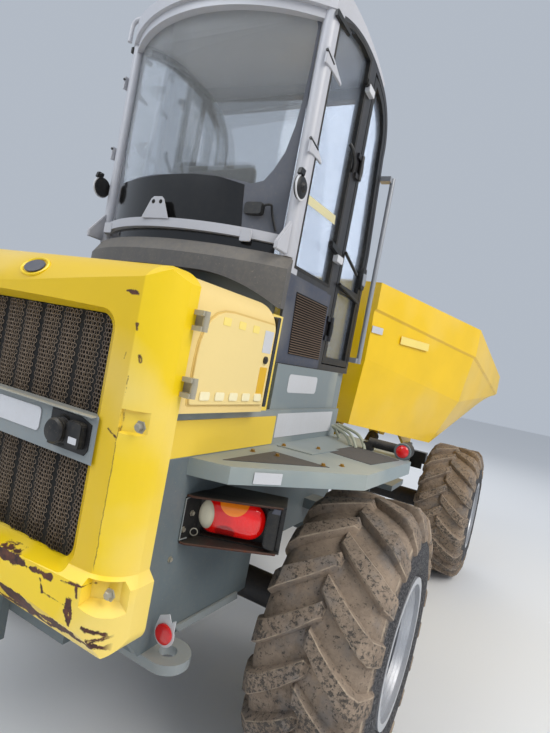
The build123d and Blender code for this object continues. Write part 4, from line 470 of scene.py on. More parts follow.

# %% [markdown]
# ## Mud on rubber
# The tyres are dark rubber under a dry coat of pale brown mud. It wears off the tops of the lugs and near the ground,
# and the lug edges are palest, partly from dry mud and partly from a painted highlight. Each vertex carries a number
# that says where it is: 0 in a groove, 1 on top of a lug and 2 on the sidewall.

# %% Mud group and tyre material
mud, given, result = open_group(
    "mud",
    [("Rubber", COLOUR, paint(0.11, 0.105, 0.10)), ("Mud", COLOUR, paint(0.585, 0.515, 0.445)), ("Cover", NUMBER, 0.7)],
    [("Colour", COLOUR), ("Roughness", NUMBER), ("Height", NUMBER)],
)
where, place = object_place(mud)
clods = speckle(mud, where, 34.0, 9, 0.76)
patches = between(mud, speckle(mud, where, 3.4, 5), 0.38, 0.62)
grains = speckle(mud, where, 150.0, 6, 0.72)
wear = add(mud, "ShaderNodeAttribute", {"attribute_name": "wear"}).outputs["Fac"]
dry = mixed(mud, patches, paint(0.42, 0.365, 0.315), given["Mud"])
pale_clods = sum_of(mud, "MULTIPLY", between(mud, clods, 0.40, 0.62), 0.5)
dry = mixed(mud, pale_clods, dry, paint(0.665, 0.59, 0.515))
grey = sum_of(mud, "MULTIPLY", between(mud, speckle(mud, where, 8.0, 6, 0.6), 0.52, 0.66), 0.6)
dry = mixed(mud, grey, dry, paint(0.47, 0.455, 0.445))
bare = sum_of(mud, "MULTIPLY_ADD", between(mud, wear, 0.3, 1.0), 0.05, speckle(mud, where, 62.0, 10, 0.8))
bare = sum_of(mud, "MULTIPLY_ADD", between(mud, place["Z"], 0.95, 0.45), 0.045, bare)
bare = between(mud, bare, 0.575, 0.615)
coat = mixed(mud, sum_of(mud, "MULTIPLY", bare, given["Cover"]), dry, given["Rubber"])
# The lug edges turn pale: partly dry mud and partly a painted highlight.
lug_edge_mud_and_highlight = sum_of(mud, "MULTIPLY", between(mud, wear, 0.1, 0.4), between(mud, wear, 0.98, 0.70))
lug_edge_mud_and_highlight = sum_of(mud, "MULTIPLY", lug_edge_mud_and_highlight, between(mud, speckle(mud, where, 22.0, 6, 0.7), 0.38, 0.58))
coat = mixed(mud, sum_of(mud, "MULTIPLY", lug_edge_mud_and_highlight, 0.7), coat, paint(0.76, 0.69, 0.60))
speckled = mixed(mud, between(mud, grains, 0.50, 0.62), paint(0.15, 0.15, 0.165), paint(0.44, 0.43, 0.43))
mud.links.new(mixed(mud, between(mud, wear, 1.1, 2.0), coat, speckled), result["Colour"])
mud.links.new(between(mud, bare, 0, 1, 0.92, 0.62), result["Roughness"])
mud.links.new(sum_of(mud, "MULTIPLY_ADD", clods, 1.0, sum_of(mud, "MULTIPLY", grains, 0.35)), result["Height"])

tree, shader = bare_material("tyre_mud")
made = use_group(tree, mud, Rubber=paint(0.15, 0.14, 0.13), Cover=0.85)
tree.links.new(made["Colour"], shader.inputs["Base Color"])
tree.links.new(made["Roughness"], shader.inputs["Roughness"])
bumped(tree, shader, made["Height"], 0.6, 0.006)
print("tyre material ready")

# %% [markdown]
# ## Glass, lamps and cloth
# Glass keeps plain numbers for its transmission, because only its colour and roughness may vary. The lamp lenses
# are clear plastic with fine upright ribs, and the seat is woven cloth.

# %% Glass and lamp materials


def clear_glass(name, tint, dust):
    """Tinted safety glass with a film of dust."""
    tree, shader = bare_material(name)
    made = use_group(tree, weather, Paint=tint + (1,), Fade=0.03, Dust=dust, Gloss_Loss=0.05)
    tree.links.new(made["Colour"], shader.inputs["Base Color"])
    tree.links.new(made["Roughness"], shader.inputs["Roughness"])
    for socket, value in {"Transmission Weight": 0.86, "IOR": 1.12, "Alpha": 0.55}.items():
        shader.inputs[socket].default_value = value


def lens_plastic(name, colour, glow):
    """Clear coloured lamp plastic with moulded ribs, and the socket of its colour."""
    tree, shader = bare_material(name)
    where = object_place(tree)[0]
    ribs = add(tree, "ShaderNodeTexWave", {"bands_direction": "X"}, Vector=where, Scale=48.0, Distortion=0.3)
    tone = between(tree, speckle(tree, where, 9.0), 0.35, 0.65, 0.72, 1.0)
    shaded = add(tree, "ShaderNodeVectorMath", {"operation": "SCALE"}, Vector=paint(*colour)[:3], Scale=tone)
    tree.links.new(shaded.outputs["Vector"], shader.inputs["Base Color"])
    bumped(tree, shader, ribs.outputs["Fac"], 0.2, 0.001)
    shader.inputs["Roughness"].default_value = 0.12
    shader.inputs["Coat Weight"].default_value = 0.6
    if glow:
        tree.links.new(shaded.outputs["Vector"], shader.inputs["Emission Color"])
        shader.inputs["Emission Strength"].default_value = glow
    return tree, shader, shaded.outputs["Vector"]


clear_glass("pane_glass", (0.66, 0.73, 0.84), 0.14)
# The rear pane's pale grey-white tint stands partly for a painted reflection of the sky.
clear_glass("rear_glass", (0.76, 0.79, 0.80), 0.30)
lens_plastic("lens_red", (0.82, 0.04, 0.05), 0.12)
lens_plastic("lens_clear", (0.84, 0.83, 0.76), 0.0)

tree, shader = bare_material("seat_cloth")
where, place = object_place(tree)
weave = add(tree, "ShaderNodeTexBrick", Vector=where, Scale=90.0, Mortar_Size=0.03).outputs["Fac"]
tone = between(tree, speckle(tree, where, 7.0, 6), 0.3, 0.7, 0.0, 0.6)
cloth = mixed(tree, tone, paint(0.12, 0.12, 0.13), paint(0.22, 0.21, 0.20))
tree.links.new(cloth, shader.inputs["Base Color"])
bumped(tree, shader, weave, 0.5, 0.001)
shader.inputs["Roughness"].default_value = 0.88
shader.inputs["Sheen Weight"].default_value = 0.3
print("materials", len(LOOKS))

# %% [markdown]
# ## Finishes on the parts that keep their shape
# Most of these parts already have the right form, so only their material changes. The few that get a piece of their
# own later, such as the tyres and the seat, take a finish here too.

# %% Carried-over parts
SIDES, ENDS = ("right", "left"), ("rear", "front")
FINISHES = {
    "cast_yellow": ["rear_surround"],
    "yellow_paint": ["hood_frame"],
    "skip_paint": ["skip_shell", "skip_ribs"],
    "pale_panel": ["service_door_right", "service_door_left"],
    "chassis_grey": ["rear_chassis", "front_chassis", "centre_knuckle", "access_steps", "tow_hitch"],
    "bar_grey": ["tie_down_plates", "grille_crossbar"],
    "fender_grey": ["rear_fender_right", "rear_fender_left"],
    "tub_grey": ["cab_tub", "side_skirts"],
    "slate_panel": ["vent_panels"],
    "cover_brown": ["hood_cover", "hood_top"],
    "cab_frame_paint": ["cab_frame"],
    "cab_grey": ["cab_roof"],
    "axle_black": ["rear_axle", "front_axle", "engine_block"],
    "black_plastic": [
        "tail_lamp_housings", "power_socket", "dashboard", "steering_column", "headlamps", "cab_door_frame_right",
        "cab_door_frame_left",
    ],
    "black_rubber": ["marker_lamps", "tip_barrels", "steer_barrel"],
    "rail_steel": ["grab_rails"],
    "pane_glass": ["windscreen", "side_windows", "cab_door_glass_right", "cab_door_glass_left"],
    "rear_glass": ["rear_window"],
    "ram_chrome": ["tip_rods", "steer_rod"],
    "rim_silver": [f"rim_{end}_{side}" for end in ENDS for side in SIDES],
    "mesh_shade": ["grille_panel"],
    "tyre_mud": [f"tyre_{end}_{side}" for end in ENDS for side in SIDES],
    "lens_red": ["tail_lamp_lenses"],
    "seat_cloth": ["seat"],
}
for finish, names in FINISHES.items():
    for name in names:
        nodes[name].data.materials.clear()
        nodes[name].data.materials.append(LOOKS[finish])
print("left over", sorted(set(nodes) - {name for names in FINISHES.values() for name in names}))

# %% [markdown]
# ## Mesh helpers
# Small pieces such as labels, plates and brackets are outlines on a flat place, given a thickness and soft edges.
# Bars are tubes along a line. A turned piece is a profile spun round an axis. Tables list the pieces, and two short
# functions set them down, most of them on both sides.

# %% Mesh helpers
ORIGIN = Vector((0, 0, 0))
PLANES = {"side": ((0, 1, 0), (0, 0, 1)), "rear": ((1, 0, 0), (0, 0, 1)), "top": ((1, 0, 0), (0, 1, 0))}


def at(x, y, z):
    """A place measured from the rear axle's line, in metres."""
    return Vector((x, AXLE_Y + y, z))


def in_scene(name, mesh):
    """A new object for a mesh."""
    piece = bpy.data.objects.new(name, mesh)
    bpy.context.scene.collection.objects.link(piece)
    return piece


def smoothed(mesh, sharp):
    """Smooth shading that stops at edges sharper than an angle."""
    for face in mesh.polygons:
        face.use_smooth = True
    mesh.set_sharp_from_angle(angle=math.radians(sharp))


def new_piece(name, bm, finish, sharp=35.0, outwards=True):
    """A finished object from an edit mesh."""
    if outwards:
        bmesh.ops.recalc_face_normals(bm, faces=bm.faces[:])
    mesh = bpy.data.meshes.new(name)
    bm.to_mesh(mesh)
    bm.free()
    smoothed(mesh, sharp)
    mesh.materials.append(LOOKS[finish])
    return in_scene(name, mesh)


def bridge(bm, rings, closed=True):
    """Faces between rows of vertices that have the same number of points."""
    for low, high in zip(rings, rings[1:]):
        for a in range(len(low) if closed else len(low) - 1):
            b = (a + 1) % len(low)
            bm.faces.new((low[a], low[b], high[b], high[a]))


def settle(piece, body, slot, *replaced):
    """Ties a finished piece to its body and hides the parts that it replaces. Its slot is not used."""
    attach(piece, body)
    if replaced:
        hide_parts(*replaced)


def rounded(width, height, radius, steps=4):
    """A rounded rectangle round the middle, as a list of points."""
    points = []
    for sx, sy, start in [(1, 1, 0), (-1, 1, 90), (-1, -1, 180), (1, -1, 270)]:
        cx, cy = sx * (width / 2 - radius), sy * (height / 2 - radius)
        for step in range(steps + 1):
            angle = math.radians(start + 90 * step / steps)
            points.append((cx + radius * math.cos(angle), cy + radius * math.sin(angle)))
    return points


def plate(name, outline, origin, plane, thickness, finish, bevel=0.0):
    """A flat piece: an outline on a plane of two directions, raised along their normal."""
    across, rise = (Vector(d).normalized() for d in (PLANES[plane] if isinstance(plane, str) else plane))
    bm = bmesh.new()
    face = bm.faces.new([bm.verts.new(origin + across * u + rise * v) for u, v in outline])
    made = bmesh.ops.extrude_face_region(bm, geom=[face])["geom"]
    moved = [v for v in made if isinstance(v, bmesh.types.BMVert)]
    bmesh.ops.translate(bm, verts=moved, vec=across.cross(rise) * thickness)
    if bevel:
        bmesh.ops.bevel(bm, geom=bm.edges[:], offset=bevel, segments=2, affect="EDGES", clamp_overlap=True)
    return new_piece(name, bm, finish)


def turned(name, profile, origin, axis, finish, steps=28, ring=False):
    """A round piece: (radius, height) points spun about an axis, closed by flat ends or, as a ring, by itself."""
    turn = Vector(axis).to_track_quat("Z", "Y").to_matrix()
    angles = [2 * math.pi * step / steps for step in range(steps)]
    bm = bmesh.new()
    rings = []
    for radius, height in profile:
        spun = [Vector((radius * math.cos(angle), radius * math.sin(angle), height)) for angle in angles]
        rings.append([bm.verts.new(origin + turn @ point) for point in spun])
    bridge(bm, rings + rings[:1] if ring else rings)
    if not ring:
        bm.faces.new(rings[0][::-1])
        bm.faces.new(rings[-1])
    return new_piece(name, bm, finish)


def tube(name, points, radius, finish, bends=True):
    """A round bar along a line of points, as a plain mesh."""
    curve = bpy.data.curves.new(name, "CURVE")
    curve.dimensions = "3D"
    curve.bevel_depth = radius
    curve.bevel_resolution = 3
    curve.use_fill_caps = True
    line = curve.splines.new("NURBS" if bends else "POLY")
    line.points.add(len(points) - 1)
    for spot, point in zip(line.points, points):
        spot.co = (*point, 1)
    if bends:
        line.order_u = 3
        line.use_endpoint_u = True
        line.resolution_u = 6
    holder = in_scene(name + "_line", curve)
    mesh = bpy.data.meshes.new_from_object(holder.evaluated_get(bpy.context.evaluated_depsgraph_get()))
    bpy.data.objects.remove(holder)
    mesh.name = name
    mesh.materials.clear()
    mesh.materials.append(LOOKS[finish])
    smoothed(mesh, 50)
    return in_scene(name, mesh)


def mirror_copy(piece, name):
    """The same piece on the left-hand side, with its faces turned outwards again."""
    mesh = piece.data.copy()
    mesh.transform(Matrix.Scale(-1, 4, (1, 0, 0)))
    mesh.flip_normals()
    mesh.name = name
    return in_scene(name, mesh)


def both_sides(piece, body, slot, left_body=None):
    """Settles a right-hand piece and its left-hand copy."""
    other = mirror_copy(piece, piece.name.replace("_right", "") + "_left")
    settle(piece, body, slot)
    settle(other, left_body or body, slot)


def fit(rows, plane, body="rear_frame", left_body=None, paired=True):
    """Sets down plates from rows: name, finish, slot, place (x, y, z), thickness, bevel, outline."""
    for name, finish, slot, place, thickness, bevel, outline in rows:
        if paired:
            piece = plate(name + "_right", outline, at(*place), plane, thickness, finish, bevel)
            both_sides(piece, body, slot, left_body)
        else:
            settle(plate(name, outline, at(*place), plane, thickness, finish, bevel), body, slot)


def run(rows, body="rear_frame", left_body=None, paired=True):
    """Sets down tubes from rows: name, finish, slot, radius, whether it bends, points (x, y, z)."""
    for name, finish, slot, radius, bends, points in rows:
        piece = tube(name + "_right" if paired else name, [at(*point) for point in points], radius, finish, bends)
        if paired:
            both_sides(piece, body, slot, left_body)
        else:
            settle(piece, body, slot)


def joined(name, pieces, finish):
    """Several pieces made into one."""
    bm = bmesh.new()
    for piece in pieces:
        bm.from_mesh(piece.data)
        bpy.data.objects.remove(piece)
    return new_piece(name, bm, finish, outwards=False)


print("mesh helpers ready")

# %% [markdown]
# ## Geometry Nodes for what repeats
# Lugs, wheel nuts, louvre slats, mesh cells and bolts are each one small shape set down many times by a tree of
# geometry nodes. A tree ends by making its instances real and giving them their material, because the export can't
# keep instances.

# %% Geometry Nodes helpers
WHOLE, REAL, ARROW = "NodeSocketInt", "NodeSocketFloat", "NodeSocketVector"
THING, FINISH = "NodeSocketObject", "NodeSocketMaterial"


def open_tree(name, inputs):
    """A geometry tree with named inputs."""
    tree = bpy.data.node_groups.new(name, "GeometryNodeTree")
    for title, kind in [("Geometry", "NodeSocketGeometry")] + inputs:
        tree.interface.new_socket(name=title, in_out="INPUT", socket_type=kind)
    tree.interface.new_socket(name="Geometry", in_out="OUTPUT", socket_type="NodeSocketGeometry")
    tree.is_modifier = True
    return tree, tree.nodes.new("NodeGroupInput").outputs, tree.nodes.new("NodeGroupOutput").inputs


def laid_on(tree, points, thing):
    """An object's mesh set down on points."""
    shape = add(tree, "GeometryNodeObjectInfo", Object=thing).outputs["Geometry"]
    return add(tree, "GeometryNodeInstanceOnPoints", Points=points, Instance=shape).outputs[0]


def close_tree(tree, instances, material, result):
    """Real geometry with its material at the tree's end."""
    real = add(tree, "GeometryNodeRealizeInstances", i0=instances).outputs[0]
    real = add(tree, "GeometryNodeSetMaterial", Geometry=real, Material=material).outputs[0]
    tree.links.new(real, result["Geometry"])


def grow(name, tree, shape, points=(), **values):
    """Runs a tree on a small shape, keeps its result as a plain mesh and removes the shape."""
    values.update(Piece=shape, Material=shape.data.materials[0])
    mesh = bpy.data.meshes.new(name)
    mesh.from_pydata([tuple(p) for p in points], [], [])
    piece = in_scene(name, mesh)
    modifier = piece.modifiers.new("grow", "NODES")
    modifier.node_group = tree
    for item in tree.interface.items_tree:
        if item.item_type == "SOCKET" and item.in_out == "INPUT" and item.name in values:
            modifier[item.identifier] = values[item.name]
    bpy.context.view_layer.update()
    made = bpy.data.meshes.new_from_object(piece.evaluated_get(bpy.context.evaluated_depsgraph_get()))
    piece.modifiers.clear()
    piece.data = made
    smoothed(made, 35)
    bpy.data.objects.remove(shape)
    print(name, len(made.polygons), "faces")
    return piece


print("geometry helpers ready")

# %% [markdown]
# ## Three trees
# One tree sets its shape in a row, one in a ring about the wheel's axis, and one on given points.

# %% Row, ring and points trees
row_tree, given, result = open_tree(
    "row_of_pieces", [("Count", WHOLE), ("Start", ARROW), ("Step", ARROW), ("Piece", THING), ("Material", FINISH)]
)
line = add(row_tree, "GeometryNodeMeshLine", Count=given["Count"], Start_Location=given["Start"], Offset=given["Step"])
close_tree(row_tree, laid_on(row_tree, line.outputs[0], given["Piece"]), given["Material"], result)

ring_tree, given, result = open_tree(
    "ring_of_pieces", [("Count", WHOLE), ("Phase", REAL), ("Piece", THING), ("Material", FINISH)]
)
spots = add(ring_tree, "GeometryNodePoints", Count=given["Count"]).outputs[0]
laid = laid_on(ring_tree, spots, given["Piece"])
number = add(ring_tree, "GeometryNodeInputIndex").outputs[0]
place_on_ring = sum_of(ring_tree, "ADD", number, given["Phase"])
angle = sum_of(ring_tree, "DIVIDE", sum_of(ring_tree, "MULTIPLY", place_on_ring, 2 * math.pi), given["Count"])
angles = add(ring_tree, "ShaderNodeCombineXYZ", X=angle).outputs[0]
laid = add(ring_tree, "GeometryNodeRotateInstances", Instances=laid, Rotation=angles, Local_Space=False).outputs[0]
close_tree(ring_tree, laid, given["Material"], result)

point_tree, given, result = open_tree("pieces_on_points", [("Piece", THING), ("Material", FINISH)])
close_tree(point_tree, laid_on(point_tree, given["Geometry"], given["Piece"]), given["Material"], result)
print("trees", len(bpy.data.node_groups))

# %% [markdown]
# ## Tyres
# A wide flotation tyre has heavy bars in a chevron: each starts near the middle of the tread and sweeps back to the
# shoulder, with the left-hand and right-hand rows set half a step apart. The casing is one profile turned round the
# axle, and one lug on each side is set round it nineteen times.

# %% Tyre casing and lug
LUGS = 19
LUG_SWEEP = 0.27
LUG_ANGLE = 0.138
LUG_EDGE = 0.006
SIDEWALL_RADIUS, TREAD_HALF = 0.46, 0.15
LUG_TOP = [
    (-0.020, 0.560), (-0.004, 0.5815), (0.055, 0.5845), (0.120, 0.5845), (0.172, 0.582), (0.207, 0.553), (0.232, 0.490),
    (0.235, 0.462),
]
LUG_FOOT = [
    (-0.026, 0.545), (-0.012, 0.545), (0.055, 0.543), (0.118, 0.541), (0.166, 0.538), (0.190, 0.517), (0.214, 0.474),
    (0.222, 0.450),
]
LUG_WIDTH = [0.45, 0.80, 0.90, 0.96, 1.02, 1.06, 1.06, 1.0]
CASING = [
    (0.0, 0.550), (0.10, 0.549), (0.160, 0.544), (0.190, 0.527), (0.212, 0.492), (0.224, 0.452), (0.231, 0.41),
    (0.238, 0.385), (0.236, 0.355), (0.226, 0.325), (0.214, 0.304), (0.211, 0.287),
]
INSIDE = [(0.200, 0.286), (0.19, 0.33), (-0.19, 0.33), (-0.200, 0.286)]


def lug_mesh(name, side):
    """One tread bar, from the middle of the tread to the shoulder."""
    bm = bmesh.new()
    wear = bm.verts.layers.float.new("wear")
    rings = []
    for top, foot, width in zip(LUG_TOP, LUG_FOOT, LUG_WIDTH):
        share = max(0.0, top[0]) / LUG_TOP[-1][0]
        middle = -LUG_SWEEP * min(1.0, share * 1.15) ** 0.85
        half = LUG_ANGLE / 2 * width
        edge = (top[0] * 0.994, top[1] - LUG_EDGE)
        stations = [(foot, -half - 0.016), (edge, -half), (top, -half + 0.010)]
        stations += [(top, half - 0.010), (edge, half), (foot, half + 0.016)]
        rings.append([])
        for (out, radius), turn in stations:
            around = middle + turn
            vertex = bm.verts.new((side * out, -radius * math.cos(around), radius * math.sin(around)))
            vertex[wear] = 1.0 if (out, radius) == top else 0.0
            rings[-1].append(vertex)
    bridge(bm, rings)
    bm.faces.new(rings[0])
    bm.faces.new(rings[-1][::-1])
    return new_piece(name, bm, "tyre_mud")


def casing_mesh(name, steps=72):
    """The tyre without its lugs, open only where the rim closes it."""
    bm = bmesh.new()
    wear = bm.verts.layers.float.new("wear")
    turns = [2 * math.pi * step / steps for step in range(steps)]
    rings = []
    for out, radius in [(-x, r) for x, r in reversed(CASING[1:])] + CASING + INSIDE:
        rings.append([bm.verts.new((out, radius * math.cos(turn), radius * math.sin(turn))) for turn in turns])
        for vertex in rings[-1]:
            vertex[wear] = 2.0 if radius < SIDEWALL_RADIUS and abs(out) > TREAD_HALF else 0.0
    bridge(bm, rings + rings[:1])
    return new_piece(name, bm, "tyre_mud")


rows = [
    grow("tread_right", ring_tree, lug_mesh("lug_right", 1), Count=LUGS, Phase=0.0),
    grow("tread_left", ring_tree, lug_mesh("lug_left", -1), Count=LUGS, Phase=0.5),
]
tyre = joined("tread", rows + [casing_mesh("casing")], "tyre_mud")
print("tyre faces", len(tyre.data.polygons))

# %% [markdown]
# ## Four wheels
# The tyre and the ring of nuts are made once and copied to every wheel. The barrel of each rim also gets stepped
# ridges, which are a closed profile spun round the axle.

# %% Four tyres with their wheel nuts
NUTS, NUT_CIRCLE, HUB_FACE = 10, 0.1, 0.148
NUT = [(0.013, 0.0), (0.013, 0.016), (0.009, 0.02), (0.009, 0.03)]
RIM_RIDGES = [
    (0.2725, 0.2105), (0.262, 0.2105), (0.258, 0.199), (0.246, 0.199), (0.242, 0.187), (0.230, 0.187), (0.226, 0.172),
    (0.2725, 0.172),
]


def placed_copy(piece, name, place):
    """A copy of a piece, moved to a place."""
    mesh = piece.data.copy()
    mesh.transform(Matrix.Translation(place))
    return in_scene(name, mesh)


nut = turned("nut", NUT, Vector((0, 0, NUT_CIRCLE)), (1, 0, 0), "zinc", 6)
nuts_right = grow("nuts_right", ring_tree, nut, Count=NUTS, Phase=0.0)
nuts_left = mirror_copy(nuts_right, "nuts_left")
for end in ENDS:
    low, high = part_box(f"tyre_{end}_right")
    for side, sign, nuts in (("right", 1, nuts_right), ("left", -1, nuts_left)):
        wheel, middle = f"wheel_{end}_{side}", Vector((sign * WHEEL_X, (low.y + high.y) / 2, TYRE_RADIUS))
        hub = middle + Vector((sign * HUB_FACE, 0, 0))
        settle(placed_copy(tyre, f"lugged_tyre_{end}_{side}", middle), wheel, "tyre_rubber", f"tyre_{end}_{side}")
        settle(placed_copy(nuts, f"wheel_nuts_{end}_{side}", hub), wheel, "rim_silver")
        ridges = turned(f"rim_ridges_{end}_{side}", RIM_RIDGES, middle, (sign, 0, 0), "rim_silver", 64, ring=True)
        settle(ridges, wheel, "rim_silver")
for spare in (tyre, nuts_right, nuts_left):
    bpy.data.objects.remove(spare)
print("wheels dressed")

# %% [markdown]
# ## Perforated grille
# The grille is sheet steel with hexagonal holes, pressed into shallow upright pleats. A grid gives the cells, every
# second row is moved by half a cell, and a ping-pong function of the place across makes the pleats.

# %% Grille tree and sheet
CELL, WEB, CELL_DEPTH = 0.0135, 0.74, 0.0028
PLEAT, PLEAT_DEPTH = 0.042, 0.0125
ROW_SHARE = math.sqrt(3) / 2
sheet_tree, given, result = open_tree(
    "perforated_sheet",
    [
        ("Pitch", REAL), ("Columns", WHOLE), ("Rows", WHOLE), ("Pleat", REAL), ("Depth", REAL), ("Place", ARROW),
        ("Piece", THING), ("Material", FINISH),
    ],
)


def sheet_math(operation, *values):
    """A math node of the sheet's tree."""
    return sum_of(sheet_tree, operation, *values)


row_step = sheet_math("MULTIPLY", given["Pitch"], ROW_SHARE)
size_x = sheet_math("MULTIPLY", sheet_math("SUBTRACT", given["Columns"], 1.0), given["Pitch"])
size_y = sheet_math("MULTIPLY", sheet_math("SUBTRACT", given["Rows"], 1.0), row_step)
grid = add(
    sheet_tree, "GeometryNodeMeshGrid", Size_X=size_x, Size_Y=size_y, Vertices_X=given["Columns"],
    Vertices_Y=given["Rows"],
).outputs[0]
position = add(sheet_tree, "GeometryNodeInputPosition").outputs[0]
spot = add(sheet_tree, "ShaderNodeSeparateXYZ", Vector=position).outputs
from_low = sheet_math("MULTIPLY_ADD", size_y, 0.5, spot["Y"])
odd = sheet_math("MODULO", sheet_math("ROUND", sheet_math("DIVIDE", from_low, row_step)), 2.0)
across = sheet_math("MULTIPLY_ADD", odd, sheet_math("MULTIPLY", given["Pitch"], 0.5), spot["X"])
wave = sheet_math("DIVIDE", sheet_math("PINGPONG", across, given["Pleat"]), given["Pleat"])
depth = sheet_math("MULTIPLY", wave, given["Depth"])
target = add(sheet_tree, "ShaderNodeCombineXYZ", X=across, Y=depth, Z=spot["Y"]).outputs[0]
target = add(sheet_tree, "ShaderNodeVectorMath", {"operation": "ADD"}, i0=target, i1=given["Place"]).outputs[0]
grid = add(sheet_tree, "GeometryNodeSetPosition", Geometry=grid, Position=target).outputs[0]
close_tree(sheet_tree, laid_on(sheet_tree, grid, given["Piece"]), given["Material"], result)


def cell_mesh(name):
    """One hexagon of sheet with its hole, open at the back."""
    bm = bmesh.new()
    outer = CELL / math.sqrt(3)
    rings = []
    for radius, y in ((outer, 0.0), (outer * WEB, 0.0), (outer * WEB, CELL_DEPTH)):
        turns = [math.radians(30 + 60 * step) for step in range(6)]
        rings.append([bm.verts.new((radius * math.cos(turn), y, radius * math.sin(turn))) for turn in turns])
    bridge(bm, rings)
    return new_piece(name, bm, "mesh_brown", 20.0, outwards=False)


low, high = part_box("grille_panel")
middle = Vector((-CELL / 4, low.y + 0.001, (low.z + high.z) / 2))
sheet = grow(
    "grille_sheet", sheet_tree, cell_mesh("cell"), Pitch=CELL, Columns=int((high.x - low.x) / CELL),
    Rows=int((high.z - low.z) / (CELL * ROW_SHARE)), Pleat=PLEAT, Depth=PLEAT_DEPTH, Place=middle,
)
# Each vertex keeps which face of the folds it lies on, for the painted shade in the mesh material.
pleat = sheet.data.attributes.new("pleat", "FLOAT", "POINT")
for index, vertex in enumerate(sheet.data.vertices):
    pleat.data[index].value = math.floor((vertex.co.x - middle.x) / PLEAT) % 2
settle(sheet, "rear_frame", "mesh_dark")
# A near-black sheet behind the mesh is painted shade.
outline = rounded(high.x - low.x - 0.002, high.z - low.z - 0.002, 0.044)
shade_sheet = plate("grille_backing", outline, Vector((0, high.y, middle.z)), "rear", 0.003, "mesh_shade")
settle(shade_sheet, "rear_frame", "mesh_dark", "grille_panel")

# %% [markdown]
# ## Crossbar, socket and blank plate
# A pressed bar with a thin top flange crosses the grille. It carries a blank white plate and a round ribbed power
# socket with its hinged cap.

# %% Crossbar pieces
bar_low, bar_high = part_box("grille_crossbar")
BAR_Y = bar_low.y - AXLE_Y
half = (bar_high.x - bar_low.x) / 2 - 0.01
SOCKET_X, SOCKET_Z = 0.425, 1.402
FLANGE = [(-half, 0), (half, 0), (half, 0.003), (-half, 0.003)]
BRACKET = [(-0.052, -0.046), (0.092, -0.046), (0.104, -0.030), (0.104, 0.036), (0.060, 0.050), (-0.052, 0.050)]
PLATE_AT, CAP_AT = (0.231, BAR_Y - 0.0005, 1.409), (SOCKET_X + 0.062, BAR_Y - 0.002, SOCKET_Z + 0.002)
LABEL_AT = (SOCKET_X + 0.066, BAR_Y - 0.0225, SOCKET_Z - 0.012)
fit(
    [
        # name, finish, slot, place, thickness, bevel, outline
        ("crossbar_flange", "flange_cream", "chassis_grey", (0, BAR_Y, bar_high.z - 0.003), 0.016, 0, FLANGE),
        ("blank_plate", "label_white", "chassis_grey", PLATE_AT, 0.0025, 0.0008, rounded(0.20, 0.066, 0.014)),
        ("socket_bracket", "rusty_lip", "chassis_grey", (SOCKET_X, BAR_Y + 0.0005, SOCKET_Z), 0.0035, 0.0008, BRACKET),
        ("socket_cap", "black_plastic", "black_plastic", CAP_AT, 0.02, 0.004, rounded(0.058, 0.070, 0.012)),
        ("socket_label", "label_white", "black_plastic", LABEL_AT, 0.001, 0, rounded(0.030, 0.017, 0.002)),
    ],
    "rear",
    paired=False,
)
ribs = [(0.031 if step % 2 else 0.034, start + step * 0.0042) for step in range(7) for start in (0.002, 0.005)]
socket_line = [(0.042, 0.0), (0.042, 0.006)] + ribs + [(0.029, 0.036), (0.012, 0.038)]
socket_body = turned("socket_body", socket_line, at(SOCKET_X, BAR_Y, SOCKET_Z), (0, -1, 0), "black_plastic", 24)
settle(socket_body, "rear_frame", "black_plastic", "power_socket")
print("crossbar at height", round(bar_high.z, 3))

# %% [markdown]
# ## Bolts and badge on the surround
# The casting is held by bolts in cut pockets, and a shallow oval at the top is left blank.

# %% Surround details
BOLT = [(0.017, 0.0), (0.017, 0.004), (0.011, 0.004), (0.011, 0.013), (0.009, 0.015)]
DISH = [(0.058, -0.004), (0.058, 0.003), (0.053, 0.0045), (0.047, 0.0015), (0.047, -0.004)]
BADGE_AT = at(0.185, -1.2258, 1.8225)
BADGE_OUT, BADGE_RISE = Vector((0, -0.827, 0.562)), Vector((0, 0.562, 0.827))
bolt_points = [at(sign * 0.655, -1.196, z) for sign in (1, -1) for z in (1.035, 1.462)]
bolt = turned("bolt", BOLT, ORIGIN, (0, -1, 0), "zinc", 6)
settle(grow("surround_bolts", point_tree, bolt, bolt_points), "rear_frame", "rail_steel")
turns = [math.radians(a) for a in range(0, 360, 15)]
oval = [(0.042 * math.cos(turn), 0.024 * math.sin(turn)) for turn in turns]
badge = plate("blank_oval", oval, BADGE_AT, ((1, 0, 0), BADGE_RISE), 0.0045, "slate_panel", 0.001)
settle(badge, "rear_frame", "yellow_paint")
dish = turned("badge_dish", DISH, ORIGIN, BADGE_OUT, "yellow_paint", 40, ring=True)
dish.data.transform(Matrix.Translation(BADGE_AT) @ Matrix.Scale(0.60, 4, BADGE_RISE))
settle(dish, "rear_frame", "yellow_paint")
print("badge", len(dish.data.polygons), "faces")

# %% [markdown]
# ## Engine doors
# Each door is a pressed panel with a raised field that rounds at its upper rear corner, small recesses near the
# top, pale blocks near the bottom, zinc hinge leaves, a latch and two blank labels.

# %% Engine door details
DOOR_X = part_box("rear_fender_right")[0].x + 0.04
PANEL = "pale_yellow_panel"
DOORS = ("service_door_right", "service_door_left")


def bead_line(points, radii, steps=6):
    """A closed outline whose corners are rounded by a radius each."""
    line = []
    for before, corner, after, radius in zip(points[-1:] + points[:-1], points, points[1:] + points[:1], radii):
        a, c, b = Vector(before), Vector(corner), Vector(after)
        start, end = c + (a - c).normalized() * radius, c + (b - c).normalized() * radius
        for step in range(steps + 1 if radius else 1):
            t = step / steps
            line.append(tuple(start * (1 - t) ** 2 + c * 2 * t * (1 - t) + end * t**2))
    return line


